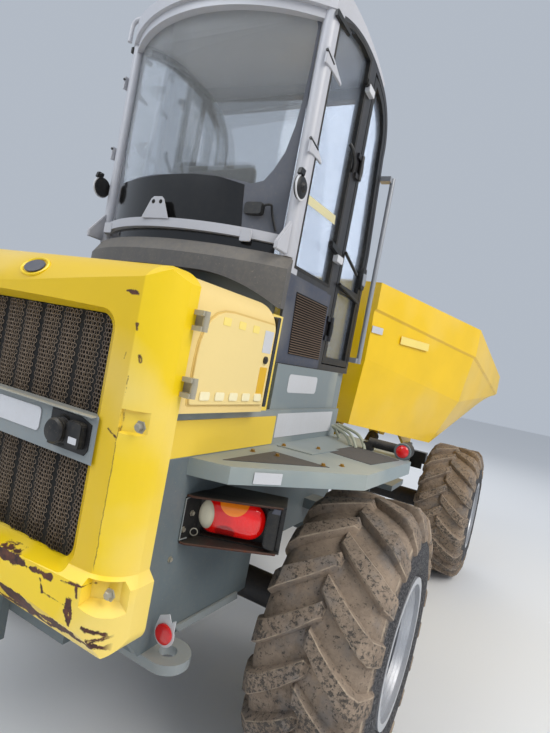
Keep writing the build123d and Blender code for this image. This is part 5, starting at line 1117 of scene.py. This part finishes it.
field = bead_line([(-1.040, 1.520), (-0.628, 1.520), (-0.628, 1.800), (-1.040, 1.800)], [0.012] * 3 + [0.15])
# The ring just outside the field is a deeper cream: painted shade along the field's raised edge.
groove = bead_line([(-1.046, 1.514), (-0.622, 1.514), (-0.622, 1.806), (-1.046, 1.806)], [0.014] * 3 + [0.156])
leaf, label, strip = rounded(0.030, 0.034, 0.005), rounded(0.060, 0.076, 0.004), rounded(0.048, 0.105, 0.004)
ON_DOOR, ON_FIELD, HINGE_HEIGHTS = DOOR_X - 0.0005, DOOR_X + 0.006, (1.573, 1.751)
rows = [
    ("door_groove", "groove_cream", PANEL, (ON_DOOR, 0, 0), 0.0015, 0, groove),
    ("door_field", "pale_field", PANEL, (ON_DOOR, 0, 0), 0.007, 0.004, field),
    ("door_label", "label_white", PANEL, (ON_FIELD, -0.664, 1.738), 0.0015, 0, label),
    ("door_strip", "label_yellow", PANEL, (ON_FIELD, -0.661, 1.598), 0.0015, 0, strip),
]
pins = []
for index, z in enumerate(HINGE_HEIGHTS):
    rows.append((f"door_hinge{index}", "zinc", PANEL, (ON_DOOR, -1.072, z), 0.010, 0.002, leaf))
    for end, lift in (("low", -0.011), ("high", 0.011)):
        line = [(DOOR_X + 0.012, -1.075, z + lift), (DOOR_X + 0.010, -1.036, z + lift)]
        pins.append((f"hinge_pin{index}_{end}", "rusty_edge", PANEL, 0.0032, False, line))
fit(rows, "side", *DOORS)
run(pins, *DOORS)
recess = plate("recess", rounded(0.040, 0.024, 0.004), ORIGIN, "side", 0.0015, "pale_patch", 0.0006)
block = plate("block", rounded(0.048, 0.026, 0.006), ORIGIN, "side", 0.004, "pale_block", 0.0015)
for name, shape, count, start, step in [
    ("door_recesses_right", recess, 3, at(DOOR_X + 0.0063, -0.925, 1.770), (0, 0.085, 0)),
    ("door_blocks_right", block, 5, at(DOOR_X + 0.0063, -0.975, 1.546), (0, 0.076, 0)),
]:
    both_sides(grow(name, row_tree, shape, Count=count, Start=start, Step=step), DOORS[0], PANEL, DOORS[1])
LATCH = [(0.013, 0), (0.013, 0.006), (0.008, 0.009)]
latch = turned("door_latch_right", LATCH, at(ON_FIELD, -0.662, 1.676), (1, 0, 0), "black_plastic", 20)
both_sides(latch, DOORS[0], PANEL, DOORS[1])
gasket_at = (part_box("hood_frame")[1].x - 0.0005, -0.5955, 1.672)
fit([("door_gasket", "gloss_black", "black_plastic", gasket_at, 0.040, 0.003, rounded(0.022, 0.322, 0.004))], "side")
print("door plane", round(DOOR_X, 3))

# %% [markdown]
# ## Vented panel, tub sticker and belt
# The slate panel beside the seat has a field of thin slats over a dark opening. The tub below carries a blank
# white sticker, and the grey belt a yellow field and a blank white strip.

# %% Side panels
SIDE_X, TUB_X, BELT_X = (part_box(name)[1].x for name in ("vent_panels", "cab_tub", "side_skirts"))
SLATS = 25
VENT = [(-0.386, 1.700), (-0.380, 1.668), (0.066, 1.668), (0.066, 2.034), (-0.392, 2.036)]
PIT = [(-0.276, 1.716), (0.056, 1.716), (0.048, 1.976), (-0.302, 1.978)]
TAIL_FLANGE = [(-0.853, 0.796), (-0.822, 0.765), (-0.459, 0.745), (-0.471, 0.777)]
STRIP_AT, STICKER_AT = (SIDE_X - 0.0005, -0.160, 1.664), (TUB_X - 0.0003, -0.158, 1.595)
FIELD_AT, BAND_AT = (BELT_X - 0.0003, -0.723, 1.409), (BELT_X - 0.0003, -0.098, 1.425)
fit(
    [
        ("vent_plate", "slate_panel", "vent_slate", (SIDE_X - 0.0005, 0, 0), 0.004, 0.001, VENT),
        # The dark pit under the slats is a sheet of painted shade.
        ("vent_pit", "mesh_shade", "vent_slate", (SIDE_X + 0.003, 0, 0), 0.0015, 0, PIT),
        ("vent_strip", "black_rubber", "black_plastic", STRIP_AT, 0.008, 0.002, rounded(0.452, 0.018, 0.003)),
        ("tub_sticker", "label_white", "chassis_grey", STICKER_AT, 0.0012, 0, rounded(0.30, 0.078, 0.016)),
        ("belt_field", "field_yellow", "yellow_paint", FIELD_AT, 0.003, 0.0012, rounded(0.630, 0.112, 0.006)),
        ("belt_strip", "label_white", "yellow_paint", BAND_AT, 0.0025, 0, rounded(0.600, 0.098, 0.003)),
        ("tail_flange", "bar_grey", "chassis_grey", (0.6195, 0, 0), 0.009, 0.002, TAIL_FLANGE),
    ],
    "side",
)
SLAT = [(0.0, 0.0), (0.0055, -0.004), (0.0065, -0.003), (0.0010, 0.0015)]
slat = plate("slat", SLAT, Vector((0, -0.1675, 0)), "rear", -0.335, "slat_brown")
slat_start = at(SIDE_X + 0.0035, -0.110, 1.722)
slats = grow("vent_slats_right", row_tree, slat, Count=SLATS, Start=slat_start, Step=(0, -0.0009, 0.0103))
both_sides(slats, "rear_frame", "vent_slate")
FIN_LINES = [
    [(0.640, 0.190, 1.405), (0.700, 0.150, 1.400), (0.762, 0.098, 1.380), (0.787, 0.075, 1.350)],
    [(0.650, 0.200, 1.412), (0.730, 0.140, 1.408), (0.800, 0.070, 1.388), (0.827, 0.037, 1.350)],
    [(0.660, 0.215, 1.416), (0.760, 0.160, 1.412), (0.835, 0.095, 1.390), (0.862, 0.060, 1.350)],
    [(0.640, 0.190, 1.405), (0.664, 0.198, 1.385), (0.683, 0.202, 1.350)],
]
fins = [tube("fin", [at(*point) for point in line], 0.007, "fin_olive") for line in FIN_LINES]
both_sides(joined("fender_fins_right", fins, "fin_olive"), "rear_frame", "chassis_grey")
print("side panels ready")

# %% [markdown]
# ## On the fender
# Two dark anti-slip fields, a bolted cover plate, yellow zinc bolts and a blank label on the folded lip.

# %% Fender details
FENDER_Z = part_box("rear_fender_right")[1].z
ON_FENDER = (0, 0, FENDER_Z - 0.0003)
REAR_GRIP = [(0.686, -0.843), (0.915, -0.513), (0.695, -0.517)]
FRONT_GRIP = [(0.785, -0.225), (0.987, -0.257), (1.031, 0.025), (0.804, 0.087)]
COVER = [(0.645, -0.404), (0.792, -0.389), (0.809, -0.14), (0.645, -0.16)]
fit(
    [
        ("grip_field_rear", "anti_slip", "chassis_grey", ON_FENDER, 0.002, 0, REAR_GRIP),
        ("grip_field_front", "anti_slip", "chassis_grey", ON_FENDER, 0.002, 0, FRONT_GRIP),
        ("fender_plate", "fender_grey", "chassis_grey", ON_FENDER, 0.004, 0.0008, COVER),
    ],
    "top",
)
SMALL_BOLT = [(0.011, 0), (0.011, 0.002), (0.0075, 0.002), (0.0075, 0.008), (0.006, 0.009)]
BOLT_SPOTS = [
    (0.74, -0.579, 0.0015), (0.893, -0.52, 0.0015), (0.932, -0.434, 0), (0.664, -0.380, 0.0035),
    (0.758, -0.247, 0.0035), (0.66, -0.616, 0),
]
small_bolt = turned("small_bolt", SMALL_BOLT, ORIGIN, (0, 0, 1), "yellow_zinc", 6)
bolt_points = [at(x, y, FENDER_Z + lift) for x, y, lift in BOLT_SPOTS]
both_sides(grow("fender_bolts_right", point_tree, small_bolt, bolt_points), "rear_frame", "rail_steel")
lip_label = rounded(0.098, 0.036, 0.002)
LIP_PLANE = ((0.292, 0.425, 0), (0, 0, 1))
fit([("lip_label", "label_white", "chassis_grey", (0.8195, -0.7785, 1.320), 0.002, 0, lip_label)], LIP_PLANE)
print("fender top", round(FENDER_Z, 3))

# %% [markdown]
# ## Side marker lamp
# A small red lens in a grey ring looks backwards from the rubber arm on each fender.

# %% Marker lamp
arm_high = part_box("marker_lamps")[1]
lamp_x, lamp_z = arm_high.x - 0.036, arm_high.z - 0.036
MARKER_LENS = [(0.030, 0.0), (0.030, 0.006), (0.025, 0.014), (0.014, 0.019), (0.003, 0.020)]
MARKER_RING = [(0.0355, -0.002), (0.0375, 0.002), (0.0375, 0.010), (0.034, 0.012), (0.031, 0.011)]
for name, profile, y, finish, slot in [
    ("marker_lens_right", MARKER_LENS, 0.064, "lens_red", "lamp_red"),
    ("marker_ring_right", MARKER_RING, 0.066, "chassis_grey", "chassis_grey"),
]:
    both_sides(turned(name, profile, at(lamp_x, y, lamp_z), (0, -1, 0), finish), "rear_frame", slot)
print("marker at", round(lamp_x, 3), round(lamp_z, 3))

# %% [markdown]
# ## Tail lamps
# The lens has rounded ends and a soft dome. Its inner end is a round clear reversing lamp, an amber field lies above
# the middle, and the rest is red. The three colours meet along smooth curves, so the material finds them itself: each
# vertex keeps its place on the flat lens in an attribute, and distances on it make the masks.

# %% Tail lamp lens
LAMP_ANGLE = math.radians(25)
LAMP_ALONG = Vector((math.cos(LAMP_ANGLE), math.sin(LAMP_ANGLE), 0))
LAMP_OUT = Vector((math.sin(LAMP_ANGLE), -math.cos(LAMP_ANGLE), 0))
LENS_WIDTH, LENS_HEIGHT, LENS_CORNER, LENS_DOME = 0.214, 0.112, 0.052, 0.020
box_low, box_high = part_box("tail_lamp_housings")
LENS_AT = Vector((BELT_X, AXLE_Y - 0.820, (box_low.z + box_high.z) / 2 + 0.009)) + LAMP_ALONG * 0.108 + LAMP_OUT * 0.004
tree, shader, coloured = lens_plastic("lens_three", (0.93, 0.05, 0.04), 0.22)
flat = add(tree, "ShaderNodeAttribute", {"attribute_name": "flat"}).outputs["Vector"]


def from_spot(where, spot):
    """The distance from a place on the flat lens."""
    return add(tree, "ShaderNodeVectorMath", {"operation": "DISTANCE"}, i0=where, i1=spot).outputs["Value"]


from_clear = from_spot(stretched(tree, flat, (1.75, 1, 1)), (-0.142, 0, 0))
from_amber = from_spot(flat, (0.002, 0.062, 0))
from_dark = from_spot(stretched(tree, flat, (0.7, 1, 1)), (-0.010, -0.042, 0))
for mask, colour in [
    (between(tree, from_dark, 0.026, 0.020), (0.55, 0.03, 0.03)),
    (between(tree, from_amber, 0.0485, 0.0475), (0.93, 0.50, 0.10)),
    (between(tree, from_clear, 0.046, 0.045), (0.80, 0.78, 0.70)),
]:
    coloured = mixed(tree, mask, coloured, paint(*colour))
dull = mixed(tree, between(tree, from_clear, 0.047, 0.046), coloured, paint(0.50, 0.47, 0.40))
coloured = mixed(tree, between(tree, from_clear, 0.028, 0.045, 0.0, 0.5), coloured, dull)
tree.links.new(coloured, shader.inputs["Base Color"])
tree.links.new(coloured, shader.inputs["Emission Color"])


def lens_mesh(name, levels=20):
    """The domed lens, as rings that shrink from its rim to its middle."""
    outline = rounded(LENS_WIDTH, LENS_HEIGHT, LENS_CORNER, 12)
    bm = bmesh.new()
    flat = bm.verts.layers.float_vector.new("flat")

    def vertex(u, v, lift):
        made = bm.verts.new(LENS_AT + LAMP_ALONG * u + Vector((0, 0, v)) + LAMP_OUT * lift)
        made[flat] = (u, v, 0)
        return made

    rings = [[vertex(u, v, -0.016) for u, v in outline]]
    for level in range(levels):
        size = 1 - level / levels
        rings.append([vertex(u * size, v * size, LENS_DOME * (1 - size**4)) for u, v in outline])
    bridge(bm, rings)
    centre, last = vertex(0, 0, LENS_DOME), rings[-1]
    for one, two in zip(last, last[1:] + last[:1]):
        bm.faces.new((one, two, centre))
    bm.faces.new(rings[0][::-1])
    return new_piece(name, bm, "lens_three", 60)


lens_right = lens_mesh("tail_lens_right")
lens_left = mirror_copy(lens_right, "tail_lens_left")
settle(lens_right, "rear_frame", "lamp_red", "tail_lamp_lenses")
settle(lens_left, "rear_frame", "lamp_red")
print("lens faces", len(lens_right.data.polygons))

# %% [markdown]
# ## Round the tail lamp
# A folded steel lip with a rusty edge covers the lamp above and below. Behind its inner end is a dark niche with a
# rolled rim and a wire loop, and its outer end is a black box.

# %% Tail lamp lips and end box
LIP = [(0.6205, -0.900), (0.640, -0.898), (0.868, -0.728), (0.868, -0.700), (0.6205, -0.812)]
LIP_EDGE = [(0.6225, -0.9005), (0.640, -0.8985), (0.868, -0.7285)]
LIP_HEIGHTS = (1.079, 1.2265)
NICHE = [(-0.906, 1.084), (-0.800, 1.084), (-0.800, 1.224), (-0.906, 1.224)]
NICHE_RIM = [(0.623, -0.885, 1.222), (0.623, -0.905, 1.218), (0.623, -0.905, 1.090), (0.623, -0.870, 1.088)]
END_BOX = [(0.0, -0.058), (0.016, -0.066), (0.040, -0.066), (0.040, 0.066), (0.016, 0.066), (0.0, 0.058)]
END_TOP = [(0.012, 0.0505), (0.040, 0.0505), (0.040, 0.0665), (0.018, 0.0665)]
BLACK = "black_plastic"
lips = [(f"lamp_lip{n}", "rusty_lip", BLACK, (0, 0, z), 0.005, 0.001, LIP) for n, z in enumerate(LIP_HEIGHTS)]
edges = [[(x, y, z + 0.0025) for x, y in LIP_EDGE] for z in LIP_HEIGHTS]
edges = [(f"lamp_lip_edge{n}", "rusty_edge", BLACK, 0.0036, False, line) for n, line in enumerate(edges)]
fit(lips, "top")
run(edges + [("lamp_niche_rim", "bar_grey", "chassis_grey", 0.0025, False, NICHE_RIM)])
# The niche is a dark sheet of painted shade.
fit([("lamp_niche", "mesh_shade", BLACK, (0.6197, 0, 0), 0.002, 0, NICHE)], "side")
for name, outline, out, thickness, finish, bevel in [
    ("lamp_end_right", END_BOX, -0.020, 0.046, BLACK, 0.004),
    ("lamp_end_top_right", END_TOP, 0.0265, 0.0015, "slate_panel", 0.0004),
]:
    place = LENS_AT + LAMP_ALONG * 0.110 + LAMP_OUT * out
    both_sides(plate(name, outline, place, (LAMP_ALONG, (0, 0, 1)), thickness, finish, bevel), "rear_frame", BLACK)
WIRE = [(0.013, -0.0015), (0.013, 0.0015), (0.010, 0.0015), (0.010, -0.0015)]
wire_loop = turned("lamp_wire_loop_right", WIRE, at(0.634, -0.850, 1.106), (0.6, -0.8, 0), "zinc", 24, ring=True)
both_sides(wire_loop, "rear_frame", "rail_steel")
TAIL_BOLT = [(0.010, 0), (0.010, 0.002), (0.007, 0.002), (0.007, 0.008)]
tail_bolt = turned("tail_bolt", TAIL_BOLT, ORIGIN, (1, 0, 0), "zinc", 6)
bolt_points = [at(0.6195, -0.93, 1.035), at(0.6215, -0.895, 1.120), at(0.6215, -0.862, 1.165)]
both_sides(grow("tail_bolts_right", point_tree, tail_bolt, bolt_points), "rear_frame", "rail_steel")

# %% [markdown]
# ## Lashing plate, reflector and bracket
# A bent white bracket on the lashing plate holds a round red reflector.

# %% Reflector
REFLECTOR = (0.664, -0.948, 0.832)
DISC = [(0.030, 0), (0.030, 0.005), (0.026, 0.008), (0.004, 0.009)]
turns = [math.radians(a) for a in range(-200, 30, 15)]
bracket = [(0.037 * math.cos(turn), 0.040 * math.sin(turn)) for turn in turns]
bracket += [(0.034, 0.052), (0.022, 0.044), (0.020, 0.038), (0.008, 0.062), (-0.026, 0.046)]
fit([("reflector_bracket", "label_white", "rail_steel", REFLECTOR, 0.003, 0.0006, bracket)], "rear")
# The reflector takes the red lens finish, which glows faintly: a painted glow, since a reflector gives no light.
disc = turned("reflector_right", DISC, at(*REFLECTOR) - Vector((0, 0.003, 0)), (0, -1, 0), "lens_red")
both_sides(disc, "rear_frame", "lamp_red")
print("bracket points", len(bracket))

# %% [markdown]
# ## Cab windows
# The rear pane bows outwards between the pillars, with a printed grey border whose inner edge is rounded, a black
# trim, and a black band behind its foot that is painted shadow in the gap there. The border follows the same bow
# as the pane, so it is built from rows of points that are set back by the arc.

# %% Rear window border
BOW_HALF = 0.521
BOW_END_Y, BOW_MIDDLE_Y = -0.369, -0.558


def bow_y(x):
    """How far back the pane's outer face lies at a place across."""
    rise = BOW_END_Y - BOW_MIDDLE_Y
    radius = (BOW_HALF**2 + rise**2) / (2 * rise)
    return BOW_MIDDLE_Y + radius - math.sqrt(radius**2 - x**2)


def finer(line, step=0.03):
    """Pairs of points on two outlines, with more pairs where they lie far apart."""
    pairs = [line[0]]
    for (a, b), (c, d) in zip(line, line[1:]):
        a, b, c, d = Vector(a), Vector(b), Vector(c), Vector(d)
        count = max(1, math.ceil(max((c - a).length, (d - b).length) / step))
        pairs += [(a.lerp(c, n / count), b.lerp(d, n / count)) for n in range(1, count + 1)]
    return pairs


def bowed_band(name, pairs, finish, slot, out, thickness=0.001, layers=5):
    """A band between two lines of points (across, height), laid on the pane's bow."""
    bm = bmesh.new()
    grid = []
    for outer, inner in finer(pairs):
        places = [Vector(outer).lerp(Vector(inner), layer / layers) for layer in range(layers + 1)]
        grid.append([bm.verts.new(at(x, bow_y(x) - out, z)) for x, z in places])
    bridge(bm, grid, closed=False)
    bmesh.ops.remove_doubles(bm, verts=bm.verts[:], dist=0.00005)
    made = bmesh.ops.extrude_face_region(bm, geom=bm.faces[:])["geom"]
    moved = [v for v in made if isinstance(v, bmesh.types.BMVert)]
    bmesh.ops.translate(bm, verts=moved, vec=(0, -thickness, 0))
    settle(new_piece(name, bm, finish), "rear_frame", slot)


BORDER_RIGHT = [
    # the outer and the inner point of each pair, down the right-hand half
    ((0.0, 3.085), (0.0, 3.063)), ((0.18, 3.085), (0.18, 3.064)), ((0.40, 3.085), (0.400, 3.064)),
    ((0.489, 3.085), (0.471, 3.063)), ((0.489, 3.03), (0.480, 3.028)), ((0.489, 2.876), (0.480, 2.876)),
    ((0.489, 2.738), (0.475, 2.738)), ((0.489, 2.623), (0.466, 2.623)), ((0.489, 2.50), (0.449, 2.513)),
    ((0.489, 2.38), (0.421, 2.434)), ((0.489, 2.16), (0.394, 2.383)), ((0.43, 2.12), (0.354, 2.363)),
    ((0.327, 2.12), (0.327, 2.366)), ((0.228, 2.12), (0.228, 2.372)), ((0.104, 2.12), (0.104, 2.375)),
    ((0.0, 2.12), (0.0, 2.373)),
]
BORDER_LEFT = [((-a, b), (-c, d)) for (a, b), (c, d) in reversed(BORDER_RIGHT)]
TRIM_FOOT = 2.125
TRIM_TOP = [
    (-0.424, 2.374), (-0.251, 2.366), (-0.102, 2.369), (0.035, 2.373), (0.104, 2.375), (0.228, 2.372), (0.329, 2.354),
    (0.335, 2.278), (0.348, 2.160),
]
FOOT_SHADOW = [((-0.475, 2.155), (-0.475, 2.0995)), ((0.475, 2.155), (0.475, 2.0995))]
bowed_band("window_border", BORDER_RIGHT + BORDER_LEFT, "printed_grey", "cab_grey", 0.0015)
bowed_band("window_black_trim", [((x, z), (x, TRIM_FOOT)) for x, z in TRIM_TOP], "gloss_black", BLACK, 0.0032)
# Painted shadow: a black band behind the pane's foot fills the gap there.
bowed_band("window_black_sill", FOOT_SHADOW, "gloss_black", BLACK, 0.0048)
print("pane bows out by", round(BOW_END_Y - BOW_MIDDLE_Y, 3))

# %% [markdown]
# ## Small parts on the cab
# The hoop carries a bracket with two holes. Each rear pillar has a flared foot, a round stay with a pale rim, and
# strap hinges for the side glass.

# %% Pillar and hoop parts
GREY = "cab_grey"
PILLAR_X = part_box("cab_frame")[1].x - 0.023
BRACKET = [(-0.075, 0.0), (0.075, 0.0), (0.035, 0.082), (0.022, 0.092), (-0.022, 0.092), (-0.035, 0.082)]
FOOT = [(-0.386, 2.245), (-0.408, 2.245), (-0.500, 2.135), (-0.500, 2.104), (-0.386, 2.104)]
STAY_BRACKET = [(-0.482, 2.402), (-0.446, 2.402), (-0.440, 2.430), (-0.474, 2.430)]
TOP_BAR = [(-0.409, 3.058), (-0.265, 3.070), (-0.265, 3.092), (-0.409, 3.088)]
fit([("hoop_bracket", GREY, GREY, (-0.02, -0.5935, 2.172), 0.003, 0.0008, BRACKET)], "rear", paired=False)
fit([("hoop_foot", GREY, GREY, (0.386, -0.498, 2.146), 0.010, 0.002, rounded(0.050, 0.048, 0.006))], "rear")
rows = [
    ("pillar_foot", GREY, GREY, (0.518, 0, 0), 0.016, 0.003, FOOT),
    ("stay_bracket", BLACK, BLACK, (PILLAR_X, 0, 0), 0.020, 0.003, STAY_BRACKET),
    ("top_catch_bar", BLACK, BLACK, (PILLAR_X - 0.003, 0, 0), 0.016, 0.003, TOP_BAR),
]
for index, (y, z) in enumerate(((-0.302, 2.524), (-0.256, 2.878))):
    sleeve = [(-0.424, z + 0.052), (-0.384, z + 0.052), (y, z + 0.004), (y + 0.004, z - 0.008)]
    sleeve += [(-0.384, z - 0.006), (-0.424, z - 0.012)]
    rows.append((f"pillar_sleeve{index}", GREY, GREY, (PILLAR_X - 0.004, 0, 0), 0.010, 0.002, sleeve))
fit(rows, "side")
bands = [[(PILLAR_X + 0.002, -0.428, z + 0.010), (PILLAR_X + 0.003, -0.352, z - 0.004)] for z in (2.556, 2.905)]
run([(f"pillar_band{index}", BLACK, BLACK, 0.006, False, line) for index, line in enumerate(bands)])
STAY = [(0.046, 0.0), (0.046, 0.012), (0.034, 0.020), (0.020, 0.020), (0.012, 0.030), (0.004, 0.031)]
STAY_RIM = [(0.0455, 0.006), (0.050, 0.008), (0.050, 0.013), (0.0440, 0.0135)]
stay_at = at(PILLAR_X - 0.001, -0.440, 2.363)
both_sides(turned("window_stay_right", STAY, stay_at, (1, 0, 0), BLACK), "rear_frame", BLACK)
stay_rim = turned("window_stay_rim_right", STAY_RIM, stay_at, (1, 0, 0), "label_white", 32, ring=True)
both_sides(stay_rim, "rear_frame", GREY)
# The holes are dark discs of painted shade.
hole = turned("bracket_hole", [(0.009, 0), (0.009, 0.0006)], ORIGIN, (0, -1, 0), "mesh_shade", 18)
holes = grow("bracket_holes", point_tree, hole, [at(x, -0.5965, 2.242) for x in (-0.040, 0.0)])
settle(holes, "rear_frame", GREY)
print("pillar plane", round(PILLAR_X, 3))

# %% [markdown]
# ## On the side glass
# A rubber seal frames the quarter window, two catches and a handle hold it, and a strip of tape crosses it. The
# door has a lock and two thin arms.

# %% Seals, catches and tape on the side glass


def frame_ring(name, outer, inner, x, thickness, finish):
    """A flat frame on the cab's side, between two outlines with the same number of points."""
    bm = bmesh.new()
    front, back = x + thickness, x
    rings = []
    for depth, outline in ((front, outer), (front, inner), (back, inner), (back, outer)):
        rings.append([bm.verts.new(at(depth, y, z)) for y, z in outline])
    bridge(bm, rings + rings[:1])
    return new_piece(name, bm, finish)


OUTER = [(-0.357, 2.064), (0.032, 2.064), (0.032, 3.162), (-0.09, 3.166), (-0.23, 3.145), (-0.357, 3.082)]
INNER = [(-0.345, 2.078), (0.014, 2.078), (0.014, 3.145), (-0.09, 3.148), (-0.225, 3.128), (-0.345, 3.068)]
TAPE = [(-0.318, 2.382), (-0.318, 2.345), (-0.005, 2.358), (-0.010, 2.400), (-0.024, 2.398)]
seal = frame_ring("quarter_seal_right", OUTER, INNER, SIDE_X - 0.020, 0.0215, "black_rubber")
both_sides(seal, "rear_frame", BLACK)
fit([("glass_tape_right", "cream_tape", GREY, (SIDE_X - 0.018, 0, 0), 0.0006, 0, TAPE)], "side", paired=False)
rows = []
for index, (y, z, end_y, end_z) in enumerate(((-0.073, 2.250, 0.066, 2.230), (-0.019, 3.030, 0.066, 3.040))):
    catch = [(y, z - 0.016), (end_y, end_z - 0.020), (end_y, end_z + 0.020), (y, z + 0.016)]
    block_at = (SIDE_X + 0.001, end_y - 0.020, end_z - 0.024)
    rows.append((f"side_catch{index}", BLACK, BLACK, (SIDE_X - 0.002, 0, 0), 0.024, 0.005, catch))
    rows.append((f"catch_block{index}", "label_white", GREY, block_at, 0.024, 0.003, rounded(0.074, 0.034, 0.005)))
fit(rows, "side")
HANDLE = [(0.006, -0.051, 2.718), (0.022, -0.040, 2.700), (0.022, 0.012, 2.645), (0.006, 0.030, 2.625)]
run([("glass_handle", BLACK, BLACK, 0.009, True, [(SIDE_X + out, y, z) for out, y, z in HANDLE])])
CAB_DOORS = ("cab_door_right", "cab_door_left")
lock, lock_face = rounded(0.060, 0.120, 0.014), rounded(0.050, 0.066, 0.008)
fit(
    [
        ("door_lock", BLACK, BLACK, (SIDE_X - 0.001, 0.438, 2.200), 0.020, 0.006, lock),
        ("door_lock_face", "rail_steel", BLACK, (SIDE_X + 0.018, 0.438, 2.196), 0.006, 0.002, lock_face),
    ],
    "side",
    *CAB_DOORS,
)
ARMS = [[(0.125, 2.262), (0.330, 2.200)], [(0.125, 2.105), (0.420, 2.065)]]
arms = [[(SIDE_X + 0.012, y, z) for y, z in line] for line in ARMS]
run([(f"door_arm{index}", BLACK, BLACK, 0.008, False, line) for index, line in enumerate(arms)], *CAB_DOORS)
print("side glass at", round(SIDE_X, 3))

# %% [markdown]
# ## Wiper and roof lamp arm
# The wiper's motor sits at the foot of the rear pane, and a short bent arm reaches over the left-hand edge of the
# roof.

# %% Wiper and roof lamp
motor_at = (0.385, bow_y(0.385) - 0.002, 2.262)
fit([("wiper_motor", BLACK, BLACK, motor_at, 0.026, 0.006, rounded(0.085, 0.05, 0.012))], "rear", paired=False)
WIPER = [(0.40, 0.030, 2.262), (0.452, 0.036, 2.30), (0.445, 0.014, 2.26), (0.470, 0.012, 2.19)]
LAMP_ARM = [(-0.43, -0.42, 3.195), (-0.50, -0.425, 3.212), (-0.556, -0.425, 3.200), (-0.562, -0.425, 3.145)]
LAMP_ARM += [(-0.560, -0.425, 3.100)]
run(
    [
        ("wiper_arm", BLACK, BLACK, 0.005, True, [(x, bow_y(x) - out, z) for x, out, z in WIPER]),
        ("roof_lamp_arm_left", GREY, BLACK, 0.011, True, LAMP_ARM),
    ],
    paired=False,
)
print("wiper and lamp arm ready")

# %% [markdown]
# ## Driver's seat
# The seat is padded, so the plain solid is replaced by cushions whose faces are crowned and whose edges pull in.
# Subdivision rounds a coarse cage, and sewn channels run across the back and the cushion.

# %% Seat cushions


def cushion(name, low, high, crown, lean=0.0, channels=3, steps=8):
    """A crowned block with sewn channels across it, leaning back by a share of its height."""
    size, rows = high - low, channels * 4
    bm = bmesh.new()
    rims = []
    for front in (False, True):
        grid = []
        for u, v in ((i / steps, j / rows) for i in range(steps + 1) for j in range(rows + 1)):
            swell = math.sin(math.pi * u) ** 0.5 * math.sin(math.pi * v) ** 0.5
            groove = 0.010 * (abs(math.sin(math.pi * v * channels)) ** 0.4 - 1) if front else 0.0
            if lean:
                depth = size.y * (0.75 + 0.25 * swell) if front else crown * (1 - swell)
                y, z = low.y + lean * (1 - v) + depth + groove, low.z + size.z * v
            else:
                lift = size.z - crown * (1 - swell) if front else crown * 0.3 * (1 - swell)
                y, z = low.y + size.y * v, low.z + lift + groove
            grid.append(bm.verts.new((low.x + size.x * u, y, z)))
        grid = [grid[start : start + rows + 1] for start in range(0, len(grid), rows + 1)]
        bridge(bm, grid, closed=False)
        rim = [column[0] for column in grid[:-1]] + grid[-1][:-1]
        rims.append(rim + [column[-1] for column in grid[:0:-1]] + grid[0][:0:-1])
    bridge(bm, rims)
    piece = new_piece(name, bm, "seat_cloth", 80)
    smooth = piece.modifiers.new("round", "SUBSURF")
    smooth.levels = smooth.render_levels = 1
    return piece


seat_low, seat_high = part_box("seat")
SPLIT_Z = seat_high.z - 0.69
base_at = Vector((0, (seat_low.y + seat_high.y) / 2, seat_low.z))
base = plate("seat_base", rounded(0.34, 0.34, 0.04), base_at, "top", SPLIT_Z - 0.11 - seat_low.z, BLACK, 0.01)
settle(base, "rear_frame", BLACK)
pad_low = Vector((seat_low.x, seat_low.y + 0.02, SPLIT_Z - 0.115))
pad = cushion("seat_pad", pad_low, Vector((seat_high.x, seat_high.y, SPLIT_Z + 0.018)), 0.05)
settle(pad, "rear_frame", "seat_fabric", "seat")
back_low = Vector((seat_low.x, seat_low.y, SPLIT_Z + 0.02))
back_high = Vector((seat_high.x, seat_low.y + 0.11, seat_high.z))
back = cushion("seat_back", back_low, back_high, 0.03, lean=0.02, channels=5)
settle(back, "rear_frame", "seat_fabric")
print("seat faces", len(pad.data.polygons) + len(back.data.polygons))

# %% [markdown]
# ## Labels and front lamps on the skip end
# The skip's side has two blank labels behind its fold, and the front lamps get clear lenses.

# %% Skip labels and headlamp lenses
SKIP_OUT, SKIP_ALONG = Vector((0.937, -0.348, 0)), Vector((0.348, 0.937, 0))
for name, outline, place, finish in [
    ("skip_label_small_right", rounded(0.112, 0.042, 0.003), at(0.5795, 0.8285, 1.970), "label_white"),
    ("skip_label_large_right", rounded(0.345, 0.052, 0.005), at(0.7320, 1.2375, 1.952), "pale_patch"),
]:
    label = plate(name, outline, place - SKIP_OUT * 0.0005, (SKIP_ALONG, (0, 0, 1)), 0.0015, finish)
    both_sides(label, "skip", "yellow_paint")
lamp_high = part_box("headlamps")[1]
lens_at = Vector((0.52, lamp_high.y - 0.004, lamp_high.z - 0.06))
clear_lens = plate(
    "headlamp_lens_right", rounded(0.13, 0.095, 0.02), lens_at, ((-1, 0, 0), (0, 0, 1)), 0.008, "lens_clear", 0.003
)
both_sides(clear_lens, "front_frame", BLACK)
print("headlamps at", round(lamp_high.y, 3))
